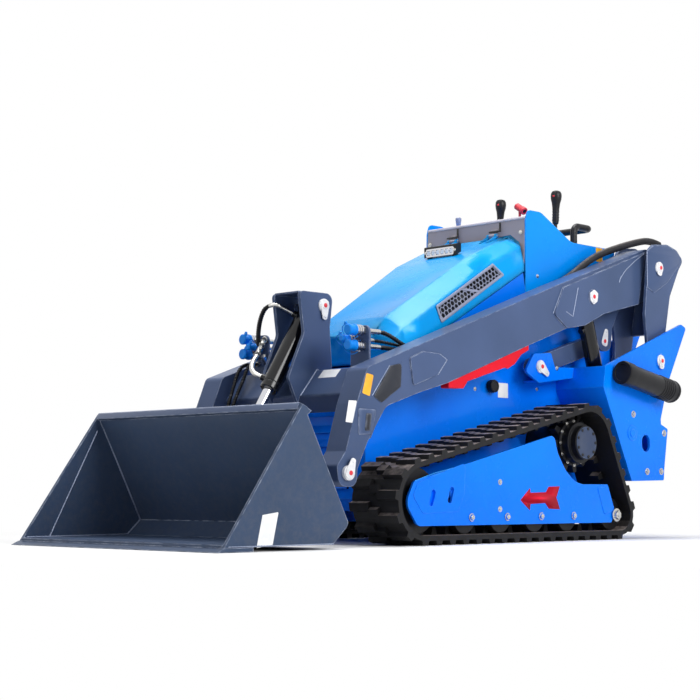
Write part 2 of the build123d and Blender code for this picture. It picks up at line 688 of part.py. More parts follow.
def build_work_light():
    """Lamp bar with six lens cups in its face, on two feet that stand on the hood."""
    front, rear = 118.0, 150.0
    half = 88.0
    lamp = slab([(front, hood_top(front) + 6), (rear, hood_top(rear) + 6), (rear, 1208, 6), (front, 1200, 6)],
                -half, half)
    for k in range(6):
        cup = block((-62.5 + 25 * k - 10, -62.5 + 25 * k + 10), (front - 1, front + 6), (1158, 1190))
        lamp -= cup
    for x in (-half + 12, half - 24):
        lamp += slab([(front + 6, hood_top(front + 6)), (rear - 6, hood_top(rear - 6)), (rear - 6, hood_top(rear) + 8),
                      (front + 6, hood_top(front) + 8)], x, x + 12)
    return lamp


# Console


def build_console():
    """Two ear plates, the top between them and the operator's panel behind."""
    ear_corners = [(HOOD_REAR_Y + 14, EAR_FOOT_Z), (338, 1300, 8), (352, 1345, 24), (436, 1345, 60),
                   (640, DASH_Z + 18, 90), (CONSOLE_REAR_Y, DASH_Z + 16, 10), (CONSOLE_REAR_Y, 1140, 20),
                   (EAR_FOOT_Y, EAR_FOOT_Z)]
    inside = SIDE_X - SHEET
    ear = slab(ear_corners, inside, SIDE_X)
    body = ear + other_side(ear)
    knee_y = CHASSIS_REAR_Y - 70
    top = strip(list(CONSOLE_TOP + ((CONSOLE_REAR_Y - 4, DASH_Z - 92), (knee_y, DASH_Z - 342), (knee_y, SHELF_Z),
                                    (CHASSIS_REAR_Y, SHELF_Z)))[::-1], SHEET)
    body += slab(top, -inside, inside)
    return body


def build_console_front():
    """Grey plate that the hood is hinged to."""
    sheet = strip([(332, 1100), (346, 1318)], 5)
    plate = slab(sheet, -SIDE_X + SHEET, SIDE_X - SHEET)
    y, z = HOOD_HINGE
    for x in (-HOOD_HINGE_X, HOOD_HINGE_X):
        plate += shaft(HOOD_HINGE, HOOD_KNUCKLE_R, x - 14.5, x + 14.5)
        plate += slab([(y, z), (y + 4, z - 4), (y + 15, z - 4), (y + 15, z + 28), (y + 9, z + 28), (y + 6, z + 8)],
                      x - 14.5, x + 14.5)
        plate += shaft(HOOD_HINGE, HOOD_PIN_R, x - 28, x + 28)
    return plate


def console_top_z(y):
    """Height of the console's sloped top between its front edge and the dash."""
    return CONSOLE_TOP[0][1] + (y - CONSOLE_TOP[0][0]) * (DASH_Z - CONSOLE_TOP[0][1]) / (640 - CONSOLE_TOP[0][0])


def build_levers():
    """Two joysticks, the stop lever and the small throttle."""
    sticks = []
    for x in (-155.0, 155.0):
        profile = [(0, DASH_Z), (34, DASH_Z), (30, DASH_Z + 14), (24, DASH_Z + 18), (26, DASH_Z + 26),
                   (17, DASH_Z + 34), (9, DASH_Z + 44), (9, DASH_Z + 140), (16, DASH_Z + 156), (14, DASH_Z + 212),
                   (18, DASH_Z + 226), (25, DASH_Z + 236), (25, DASH_Z + 246), (14, DASH_Z + 254), (0, DASH_Z + 254)]
        turned = revolve(Plane.XZ * make_face(Polyline(*profile, close=True)), Axis.Z)
        sticks.append(Pos(x, 682, 0) * turned)
    stop = shaft((650, DASH_Z + 196), 15, -42, 20) + Pos(-10, 650, 0) * Cylinder(
        6, 196, align=(Align.CENTER, Align.CENTER, Align.MIN)).moved(Location((0, 0, DASH_Z)))
    sticks.append(stop)
    slope_z = console_top_z(450)
    throttle = [(0, slope_z - 2), (5, slope_z - 2), (5, slope_z + 66), (13, slope_z + 96), (13, slope_z + 104),
                (0, slope_z + 106)]
    stalk = Pos(-190, 450, 0) * revolve(Plane.XZ * make_face(Polyline(*throttle, close=True)), Axis.Z)
    below = [*CONSOLE_TOP[:2], (CONSOLE_TOP[0][0], DASH_Z)]
    sticks.append(stalk - slab(below, -210, -170))
    return sticks


def build_grab_bar():
    half, z = SIDE_X - 71, DASH_Z + 108
    points = [(half, 750, DASH_Z), (half, 750, z), (half, 870, z), (-half, 870, z), (-half, 750, z),
              (-half, 750, DASH_Z)]
    path = FilletPolyline(*points, radius=30)
    return sweep(Plane(origin=path @ 0, z_dir=path % 0) * Circle(15), path=path)


# Lift arms

ARM_OUTLINE = [(-758, 629, 30), (324, 1015, 200), (940, 1226, 60), (1056, 1190, 70), (1030, 1040, 60),
               (871, 981, 10), (627, 922, 20), (497, 865, 20), (383, 845), (126, 756), (-335, 592),
               (-487, 551), (-665, 494, 60), (-759, 365, 40), (-810, 268, 10), (-812, 208, 34), (-902, 206, 40),
               (-908, 280, 20), (-866, 331, 10), (-812, 500, 20)]


def build_arm():
    """Box beam with its deep rear gussets and front leg, open below for the lift cylinder."""
    arm = slab(ARM_OUTLINE, ARM_IN_X, ARM_OUT_X)
    pocket = [(470, 780), (440, 1010), (560, 1065, 40), (640, 1070, 40), (750, 965, 20), (750, 780)]
    arm -= slab(pocket, ARM_IN_X + 12, ARM_OUT_X - 12)
    arm += slab([(-543, 673, 8), (-474, 701, 8), (-385, 698, 8), (-344, 678, 8), (-395, 619, 8), (-525, 574, 8)],
                ARM_OUT_X, ARM_OUT_X + 6)
    patch = slab([(361, 1010, 20), (297, 897, 20), (383, 845, 20), (497, 865, 20), (627, 922, 20), (871, 981),
                  (926, 1208)], ARM_OUT_X, ARM_OUT_X + ARM_PLATE)
    arm += patch
    y, z = CONTROL_HEAD
    tab = slab([(620, 915), (640, 1000), (860, 1000), (860, 960), (812, 880), (y + 40, z - 42, 40),
                (y - 40, z - 42, 40), (700, 850)], ARM_IN_X, ARM_IN_X + 12)
    arm += tab
    arm += shaft(LIFT_HEAD, PIN_R + 12, ARM_OUT_X + ARM_PLATE, ARM_OUT_X + ARM_PLATE + 4)
    bracket = slab([(-735, 370, 6), (-690, 380, 6), (-640, 470, 20), (-690, 560, 20), (-735, 540, 6)],
                   ARM_IN_X + 40, ARM_IN_X + 48)
    arm += bracket
    arm -= shaft(BUCKET_PIN, PIN_R + PIN_GAP, ARM_IN_X - 1, ARM_OUT_X + 1)
    arm -= shaft(REAR_LINK_HEAD, PIN_R + PIN_GAP, ARM_IN_X - 1, ARM_OUT_X + ARM_PLATE + 1)
    return arm


TUBE_RIDGE = (-655.0, 645.0)
TUBE_REAR = (-580.0, 582.0)


def build_cross_tube():
    corners = [(*TUBE_RIDGE, 8), (-742, 542, 8), (-667, 479, 8), (*TUBE_REAR, 8)]
    return slab(corners, -ARM_IN_X, ARM_IN_X)


def build_tilt_bracket():
    """Two curved cheeks and a cap that hold the tilt cylinder's top pin."""
    corners = [(-745, 935, 18), (-573, 935, 30), (-590, 800, 60), (-572, 592), (-655, 645), (-742, 542),
               (-752, 512), (-800, 607, 20), (-722, 777, 40)]
    cheek = slab(corners, 64, 78)
    cap = slab([(-740, 929), (-740, 935), (-590, 935), (-590, 929)], -64, 64)
    pin = shaft(TILT_TOP, PIN_R, -84, 84)
    return cheek + other_side(cheek) + cap + pin


def beam_bottom(y):
    """Underside of the arm's beam between its front bend and the gusset."""
    a, b = ((-335, 592), (126, 756)) if y < 126 else ((126, 756), (383, 845))
    return a[1] + (y - a[0]) * (b[1] - a[1]) / (b[0] - a[0])


def build_arm_lock():
    """Red channel kept under the beam."""
    front, rear = -322, 149
    lower = [(front, beam_bottom(front)), (front, 574, 6), (-240, 576, 6), (-216, 604), (6, 668), (20, 664, 6),
             (62, 684, 6), (104, 724), (rear, 744), (rear, beam_bottom(rear)), (126, beam_bottom(126))]
    lock = slab(lower, ARM_OUT_X - 46, ARM_OUT_X - 6)
    hollow = [(front + 90, beam_bottom(front + 90) - 20), (front + 90, 500), (rear + 10, 500), (rear + 10, 740),
              (126, beam_bottom(126) - 20)]
    return lock - slab(hollow, ARM_OUT_X - 40, ARM_OUT_X - 12)


def tube_top(y):
    """Height of the cross tube's upper rear face."""
    (y0, z0), (y1, z1) = TUBE_RIDGE, TUBE_REAR
    return z0 + (y - y0) * (z1 - z0) / (y1 - y0)


def coupler_stations():
    """(x, z, body radius, hose radius) of the three lines through a bracket."""
    lines = [(x, z, AUX_BODY_R, AUX_HOSE_R) for x, z in AUX_COUPLERS]
    return lines + [(AUX_DRAIN[0], AUX_DRAIN[1], AUX_BODY_R - 6, DRAIN_HOSE_R)]


def build_coupler_block():
    """Upright bracket on the cross tube, drilled for the three lines."""
    front, back = AUX_PLATE_Y, AUX_PLATE_Y + AUX_PLATE
    plate = slab([(front, tube_top(front)), (back, tube_top(back)), (back, AUX_TOP), (front, AUX_TOP)], *AUX_PLATE_X)
    plate = fillet(plate.edges().filter_by(Axis.Y).sort_by(Axis.Z)[-2:], 24)
    for x, z, _, hose_r in coupler_stations():
        plate -= spindle(x, z, hose_r + 5, front - 1, back + 1)
    return plate


def build_aux_couplers():
    """Coupler bodies with their nipples in front of the bracket and the hoses' ferrules behind it."""
    couplers = []
    front, back = AUX_PLATE_Y, AUX_PLATE_Y + AUX_PLATE
    for x, z, body_r, hose_r in coupler_stations():
        nut = Plane(origin=(x, front - 14, z), z_dir=(0, 1, 0)) * RegularPolygon(body_r, 6)
        piece = extrude(nut, amount=14)
        piece += spindle(x, z, body_r - 2, front - AUX_BODY, front - 14)
        piece += spindle(x, z, min(AUX_R, body_r - 4), front - AUX_BODY - AUX_LENGTH, front - AUX_BODY)
        piece += spindle(x, z, hose_r + 4.9, front - 1, back)
        rear_nut = Plane(origin=(x, back, z), z_dir=(0, 1, 0)) * RegularPolygon(hose_r + 8, 6)
        piece += extrude(rear_nut, amount=14)
        piece += spindle(x, z, hose_r + 2.5, back + 14, back + FERRULE)
        couplers.append(piece)
    return couplers


def sleeve_mouth(across, up):
    """Point in the sleeve's first face, `across` it and `up` it from the centre."""
    start, following = Vector(*SLEEVE_POINTS[0]), Vector(*SLEEVE_POINTS[1])
    heading = (following - start).normalized()
    side = heading.cross(Vector(0, 0, 1)).normalized()
    return start + side * across + side.cross(heading) * up, heading


def build_coupler_hoses():
    """The three hoses from the left bracket's ferrules down into the sleeve."""
    hoses = []
    exits = [(7.2, -3.6), (-7.2, -3.6), (0, 8.4)]
    for (x, z, _, hose_r), (across, up) in zip(coupler_stations(), exits):
        end, heading = sleeve_mouth(across, up)
        start_y = AUX_PLATE_Y + AUX_PLATE + FERRULE
        near = end - heading * 42
        dip = near + Vector((x - end.X) * 0.35, -62, (z - 721) * 0.22 + 2)
        points = [(x, start_y, z), (x, start_y + 34, z), (dip.X, dip.Y, dip.Z), (near.X, near.Y, near.Z),
                  (end.X, end.Y, end.Z)]
        hoses.append(tube_route(points, hose_r))
    return hoses


def build_hose_sleeve():
    return tube_route(SLEEVE_POINTS, SLEEVE_R)


def port_side(turn):
    """Direction square to the tilt cylinder, forwards and `turn` degrees to the right."""
    ahead = radians(direction(TILT_TOP, TILT_EYE) - 90)
    return Vector(-sin(radians(turn)), cos(radians(turn)) * cos(ahead), cos(radians(turn)) * sin(ahead))


def build_tilt_hoses():
    """The tilt cylinder's hoses, from its ports to a little before the right bracket."""
    hoses = []
    for distance, turn, points, radius in TILT_HOSES:
        side = port_side(turn)
        start = Vector(0, *along(TILT_TOP, TILT_EYE, distance)) + side * (TILT_BARREL_R + PORT_REACH)
        first = start + side * 32
        route = [start, first] + [Vector(*point) for point in points[1:]]
        hoses.append(tube_route([(p.X, p.Y, p.Z) for p in route], radius))
    return hoses


def build_line_fittings():
    """Fittings on the right bracket and inside the right arm where the hoses there end."""
    bracket = block((-400, -150), (AUX_PLATE_Y, AUX_PLATE_Y + 100), (500, 900))
    arm = block((-ARM_IN_X - 100, -ARM_IN_X), (-900, -700), (300, 500))
    ends = [(Vector(*tip), Vector(*root), radius, bracket) for root, tip, radius in LINE_STARTS]
    fittings = []
    for points, radius in FRONT_LINES:
        ends.append((Vector(*points[0]), Vector(*points[0]) * 2 - Vector(*points[1]), radius, bracket))
        ends.append((Vector(*points[-1]), Vector(*points[-1]) * 2 - Vector(*points[-2]), radius, arm))
    for tip, root, radius, wall in ends:
        fittings.append(extrude(Plane(origin=tip, z_dir=root - tip) * Circle(radius + 3), amount=60) - wall)
    return fittings


# Links


def build_rear_link():
    """Two plates and the sheet behind them, between the tower's foot pin and the arm's head pin."""
    corners = [(905, 1215, 30), (938, 1240, 40), (1038, 1250, 60), (1109, 1232, 40), (1156, 1191, 20),
               (1121, 1146, 30), (1053, 1027, 60), (1000, 800, 60), (978, 700, 55), (878, 690, 50),
               (882, 822, 20), (868, 931, 60)]
    outer = slab(corners, REAR_LINK_OUT_X - LINK_PLATE, REAR_LINK_OUT_X)
    inner = slab(corners, REAR_LINK_IN_X, REAR_LINK_IN_X + LINK_PLATE)
    between = (REAR_LINK_IN_X + LINK_PLATE, REAR_LINK_OUT_X - LINK_PLATE)
    back = slab(strip([(1008, 860), (1046, 1027), (1108, 1138)], 10), *between)
    pin = shaft(REAR_LINK_HEAD, PIN_R, REAR_LINK_IN_X, REAR_LINK_OUT_X + 8)
    body = outer + inner + back + pin
    foot = PIN_R + PIN_GAP
    for x0, x1 in ((REAR_LINK_IN_X - 12, REAR_LINK_IN_X), (REAR_LINK_OUT_X, TOWER_OUT_X - TOWER_PLATE - 1)):
        body += shaft(REAR_LINK_FOOT, 40, x0, x1)
    body -= shaft(REAR_LINK_FOOT, foot, REAR_LINK_IN_X - 20, REAR_LINK_OUT_X + 40)
    return body


def build_control_link():
    """Plain bar with an eye at each end."""
    half = CONTROL_DEPTH / 2
    turn = direction(CONTROL_FOOT, CONTROL_HEAD)
    length = gap_between(CONTROL_FOOT, CONTROL_HEAD)
    bar = Pos(length / 2, 0) * SlotOverall(length + CONTROL_DEPTH, CONTROL_DEPTH)
    bar -= Circle(PIN_R + PIN_GAP)
    face = Pos(*CONTROL_FOOT) * Rot(0, 0, turn) * bar
    link = extrude(Plane.YZ.offset(CONTROL_IN_X) * face, amount=CONTROL_OUT_X - CONTROL_IN_X)
    link += shaft(CONTROL_HEAD, PIN_R, CONTROL_IN_X - 4, ARM_IN_X - 1)
    return link


# Cylinders


def turned_along(profile, foot, head, x):
    """Turned piece from (distance, radius) pairs, laid from foot towards head."""
    points = [(profile[0][0], 0)] + list(profile) + [(profile[-1][0], 0)]
    face = make_face(Polyline(*points, close=True))
    piece = revolve(face, Axis.X)
    place = Plane(origin=(x, foot[0], foot[1]), x_dir=(0, head[0] - foot[0], head[1] - foot[1]),
                  z_dir=(1, 0, 0))
    return place * piece


def build_cylinder(foot, head, x, barrel_r, rod_r, shortest, longest, spare, eye_half, ports):
    """Barrel with its bore, foot eye and ports, and the rod with its piston, head eye and pin.

    `ports` are (distance from the foot, direction out of the barrel) pairs.
    """
    now = gap_between(foot, head)
    mouth = shortest - spare
    rod_length = longest - mouth + GLAND_DEPTH + PISTON_LENGTH + 2
    inner = barrel_r - BARREL_WALL
    bottom = shortest - rod_length - 3
    gland = mouth - GLAND_DEPTH
    barrel = turned_along([(24, barrel_r - 2), (40, barrel_r), (gland - 14, barrel_r), (gland - 14, barrel_r - 2),
                           (gland - 10, barrel_r - 2), (gland - 10, barrel_r), (mouth - 3, barrel_r),
                           (mouth, barrel_r - 3)], foot, head, x)
    for distance, side in ports:
        port = Plane(origin=(x, *along(foot, head, distance)), z_dir=side)
        barrel += extrude(port * Circle(PORT_R), amount=barrel_r + PORT_REACH)
    bore = turned_along([(bottom, inner), (gland, inner), (gland, rod_r + 0.1), (mouth + 1, rod_r + 0.1)],
                        foot, head, x)
    barrel -= bore
    barrel += shaft(foot, barrel_r + 3, x - eye_half, x + eye_half)
    barrel -= shaft(foot, PIN_R + PIN_GAP, x - eye_half - 1, x + eye_half + 1)
    piston = now - rod_length
    rod = turned_along([(piston, inner - 0.3), (piston + PISTON_LENGTH, inner - 0.3),
                        (piston + PISTON_LENGTH, rod_r), (now, rod_r)], foot, head, x)
    rod += shaft(head, barrel_r - 2, x - eye_half, x + eye_half)
    rod += shaft(head, PIN_R, x - eye_half - 5, x + eye_half + 5)
    return barrel, rod


# Bucket and its coupler


def build_bucket():
    """Floor, heel, back and lip as one bent sheet between two side plates, with the cutting edge."""
    floor_front = (EDGE_TIP[0] + EDGE_BEVEL, EDGE_THICK)
    edge_back = EDGE_TIP[0] + EDGE_LENGTH
    edge_back_z = floor_front[1] + (BUCKET_HEEL[1] - floor_front[1]) * (edge_back - floor_front[0]) / (
        BUCKET_HEEL[0] - floor_front[0])
    sheet_points = [floor_front, BUCKET_HEEL, BUCKET_BEND, BUCKET_TOP_REAR,
                    (BUCKET_TOP_FRONT[0] + 6, BUCKET_TOP_FRONT[1] - 4)]
    inside = BUCKET_HALF - BUCKET_SIDE
    sheet = slab(strip(sheet_points, BUCKET_PLATE), -inside, inside)
    side_corners = [floor_front, (BUCKET_HEEL[0], BUCKET_HEEL[1], 20), (BUCKET_BEND[0], BUCKET_BEND[1], 20),
                    BUCKET_TOP_REAR, (-1146, 457), BUCKET_TOP_FRONT]
    side = slab(side_corners, inside, BUCKET_HALF)
    edge = slab([EDGE_TIP, (edge_back, 0), (edge_back, edge_back_z), floor_front],
                -BUCKET_HALF - EDGE_PROUD, BUCKET_HALF + EDGE_PROUD)
    lip = slab([(-1196, 462, 6), (-1190, 484, 6), (-1152, 470, 6), (-1158, 448, 6)], -inside, inside)
    return sheet + side + other_side(side) + edge + lip


def build_coupler():
    """Quick-attach plate on the bucket's back with the ears of the three pins."""
    back = direction(BUCKET_BEND, BUCKET_TOP_REAR)
    away = back - 90
    low = along(BUCKET_BEND, BUCKET_TOP_REAR, 34)
    high = along(BUCKET_BEND, BUCKET_TOP_REAR, 384)
    shift = (COUPLER_PLATE * cos(radians(away)), COUPLER_PLATE * sin(radians(away)))
    plate_corners = [low, high, (high[0] + shift[0], high[1] + shift[1]), (low[0] + shift[0], low[1] + shift[1])]
    body = slab(plate_corners, -COUPLER_HALF, COUPLER_HALF)
    foot = [(low[0] + shift[0] - 3, low[1] + shift[1]), (high[0] + shift[0] - 3, high[1] + shift[1])]
    root_a = along(foot[0], foot[1], 20)
    root_b = along(foot[0], foot[1], 240)
    ear = slab([root_a, (BUCKET_PIN[0] - 10, BUCKET_PIN[1] - 42, 20), (BUCKET_PIN[0] + 40, BUCKET_PIN[1] - 30, 38),
                (BUCKET_PIN[0] + 34, BUCKET_PIN[1] + 40, 38), root_b], COUPLER_HALF - COUPLER_EAR, COUPLER_HALF)
    body += ear + other_side(ear)
    for side in (-1, 1):
        low_x, high_x = sorted((side * (COUPLER_HALF - COUPLER_EAR), side * (ARM_OUT_X + 12)))
        body += shaft(BUCKET_PIN, PIN_R, low_x, high_x)
    top_a = along(foot[0], foot[1], 150)
    top_b = along(foot[0], foot[1], 345)
    tilt_ear = slab([top_a, (TILT_EYE[0] - 6, TILT_EYE[1] - 60, 20), (TILT_EYE[0] + 36, TILT_EYE[1] - 34, 34),
                     (TILT_EYE[0] + 34, TILT_EYE[1] + 36, 34), (TILT_EYE[0] - 40, TILT_EYE[1] + 36, 20), top_b],
                    30, 46)
    body += tilt_ear + other_side(tilt_ear)
    return body


def build_platform():
    """Folding step for the operator, stored upright."""
    y, z = PLATFORM_HINGE
    tray = block((-PLATFORM_HALF, PLATFORM_HALF), (y + 4, y + 4 + PLATFORM_THICK), (z + 8, z + PLATFORM_LENGTH))
    tray -= block((-PLATFORM_HALF + 8, PLATFORM_HALF - 8), (y, y - 2 + PLATFORM_THICK),
                  (z + 34, z + PLATFORM_LENGTH - 8))
    for k in range(5):
        for x in (-PLATFORM_HALF * 0.68, 0, PLATFORM_HALF * 0.68):
            hole = Plane(origin=(x, y, z + 70 + 50 * k), z_dir=(0, 1, 0)) * SlotOverall(96, 20)
            tray -= extrude(hole, amount=PLATFORM_THICK + 10)
    tray += shaft(PLATFORM_HINGE, 14, -PLATFORM_HALF, PLATFORM_HALF)
    tray += shaft(PLATFORM_HINGE, PLATFORM_PIN_R, -PLATFORM_HALF - 22, PLATFORM_HALF + 22)
    return tray


def build_platform_hinge():
    """Lugs on the chassis that the step turns on."""
    y, z = PLATFORM_HINGE
    lug = slab([(CHASSIS_REAR_Y, z - 24), (CHASSIS_REAR_Y, z + 24), (y + 18, z + 18, 14), (y + 18, z - 18, 14)],
               PLATFORM_HALF + RUN_GAP, PLATFORM_HALF + 18)
    return lug - shaft(PLATFORM_HINGE, PLATFORM_PIN_R + PIN_GAP, PLATFORM_HALF, PLATFORM_HALF + 20)


def build_document_tube():
    """Capped tube on the left tower's outer face."""
    a, b = (585.0, 671.0), (933.0, 606.0)
    radius = 46.0
    x = TOWER_OUT_X + radius + 4
    tube = turned_along([(0, radius + 3), (44, radius + 3), (44, radius), (gap_between(a, b), radius)], a, b, x)
    saddle = slab([(680, 640), (680, 664), (860, 632), (860, 608)], TOWER_OUT_X, x - radius + 12)
    return tube + saddle


def build_filler_cap():
    """Cap of the fuel filler on the left side panel."""
    centre = (102.0, 606.0)
    return shaft(centre, 20, SIDE_X, SIDE_X + 10) + shaft(centre, 26, SIDE_X + 10, SIDE_X + 24)


def build_all():
    pair("track", build_track())
    rollers = build_rollers()
    nodes["track_rollers"] = Compound(rollers + [other_side(roller) for roller in rollers])
    pair("sprocket", build_sprocket())
    pair("track_frame", build_track_frame())
    pair("side_panel", build_side_panel())
    nodes["front_panel"] = build_front_panel()
    nodes["floor_pan"] = build_floor()
    pair("tower", build_tower())
    nodes["engine_block"] = build_engine()
    nodes["console"] = build_console()
    nodes["console_front"] = build_console_front()
    nodes["levers"] = Compound(build_levers())
    nodes["grab_bar"] = build_grab_bar()
    nodes["document_tube"] = build_document_tube()
    nodes["filler_cap"] = build_filler_cap()
    hinge = build_platform_hinge()
    nodes["platform_hinge"] = Compound([hinge, other_side(hinge)])
    nodes["platform"] = build_platform()
    nodes["hood"] = build_hood()
    grille = build_hood_grille()
    nodes["hood_grilles"] = Compound([grille, other_side(grille)])
    nodes["work_light"] = build_work_light()
    pair("arm", build_arm())
    nodes["cross_tube"] = build_cross_tube()
    nodes["tilt_bracket"] = build_tilt_bracket()
    lock = build_arm_lock()
    nodes["arm_locks"] = Compound([lock, other_side(lock)])
    pair("coupler_block", build_coupler_block())
    couplers = build_aux_couplers()
    nodes["aux_couplers_left"] = Compound(couplers)
    nodes["aux_couplers_right"] = Compound([other_side(piece) for piece in couplers] + build_line_fittings())
    nodes["coupler_hoses"] = Compound(build_coupler_hoses())
    nodes["hose_sleeve"] = build_hose_sleeve()
    nodes["front_lines"] = Compound([tube_route(points, radius) for points, radius in FRONT_LINES])
    nodes["tilt_hoses"] = Compound(build_tilt_hoses())
    pair("rear_link", build_rear_link())
    pair("control_link", build_control_link())
    turn = radians(direction(LIFT_FOOT, LIFT_HEAD) + 90)
    shortest = gap_between(LIFT_FOOT, LIFT_HEAD)
    ports = [(distance, (0, cos(turn), sin(turn))) for distance in (56, shortest - LIFT_SPARE - 54)]
    barrel, rod = build_cylinder(LIFT_FOOT, LIFT_HEAD, LIFT_X, LIFT_BARREL_R, LIFT_ROD_R,
                                 shortest, LIFT_MAX, LIFT_SPARE, 30, ports)
    pair("lift_barrel", barrel)
    pair("lift_rod", rod)
    nodes["tilt_barrel"], nodes["tilt_rod"] = build_cylinder(
        TILT_TOP, TILT_EYE, 0, TILT_BARREL_R, TILT_ROD_R, TILT_MIN, TILT_MAX, TILT_SPARE, 24,
        [(distance, port_side(turn)) for distance, turn, _, _ in TILT_HOSES])
    nodes["bucket"] = build_bucket()
    nodes["coupler"] = build_coupler()


build_all()
whole = Compound([node.solid() if len(node.solids()) == 1 else Compound(node.solids()) for node in nodes.values()])
box = whole.bounding_box()
SHIFT_X = -(box.min.X + box.max.X) / 2
SHIFT_Y = -(box.min.Y + box.max.Y) / 2
for name, node in nodes.items():
    export_step(Pos(SHIFT_X, SHIFT_Y, 0) * Compound(node.solids()), f"parts/{name}.step")
print(f"shift {SHIFT_X:.2f} {SHIFT_Y:.2f}, box {box.size.X:.0f} x {box.size.Y:.0f} x {box.size.Z:.0f}, pitch {BELT_PITCH:.2f}")
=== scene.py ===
"""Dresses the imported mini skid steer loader: finishes, hoses, fasteners and small fittings."""

import logging
import math
from dataclasses import dataclass
from enum import Enum
from typing import Callable, Iterable, Optional, Sequence

import bpy
from mathutils import Matrix, Vector


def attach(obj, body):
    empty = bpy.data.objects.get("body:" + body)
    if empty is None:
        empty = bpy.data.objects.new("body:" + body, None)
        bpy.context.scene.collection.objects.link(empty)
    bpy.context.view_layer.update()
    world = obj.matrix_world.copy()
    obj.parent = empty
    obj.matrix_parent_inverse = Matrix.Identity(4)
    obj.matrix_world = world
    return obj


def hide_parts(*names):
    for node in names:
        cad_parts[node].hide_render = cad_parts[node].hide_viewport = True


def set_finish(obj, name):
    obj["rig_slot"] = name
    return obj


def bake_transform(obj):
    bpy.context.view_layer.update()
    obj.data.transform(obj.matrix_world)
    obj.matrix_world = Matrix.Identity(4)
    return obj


log = logging.getLogger("loader")
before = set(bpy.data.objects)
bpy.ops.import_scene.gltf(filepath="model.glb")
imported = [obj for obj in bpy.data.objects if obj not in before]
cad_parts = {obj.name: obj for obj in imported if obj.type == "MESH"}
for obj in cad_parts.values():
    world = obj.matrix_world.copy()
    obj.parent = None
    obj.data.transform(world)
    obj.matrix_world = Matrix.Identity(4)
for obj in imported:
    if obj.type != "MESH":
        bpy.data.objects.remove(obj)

# Where the machine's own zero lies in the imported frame, in millimetres
ZERO = Vector((-23.25, 203.197, 0.0))
# Rounding that sheared and folded steel edges show, in metres
EDGE_ROUND = 0.005
# Pale colour on what faces up: dust, and painted top light as well
DUST_AND_TOP_LIGHT = "#9A8F8B"

Point = tuple[float, float, float]
Corner = tuple[float, ...]


def at(x: float, y: float, z: float) -> Vector:
    """Place of a point given in the machine's millimetres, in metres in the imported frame."""
    return (Vector((x, y, z)) + ZERO) / 1000.0


def tint(code: str) -> tuple[float, float, float, float]:
    """Linear colour of an sRGB hex code such as "#0A86F5"."""
    parts = [int(code[i:i + 2], 16) / 255.0 for i in (1, 3, 5)]
    linear = [c / 12.92 if c <= 0.04045 else ((c + 0.055) / 1.055) ** 2.4 for c in parts]
    return (linear[0], linear[1], linear[2], 1.0)


# Finishes


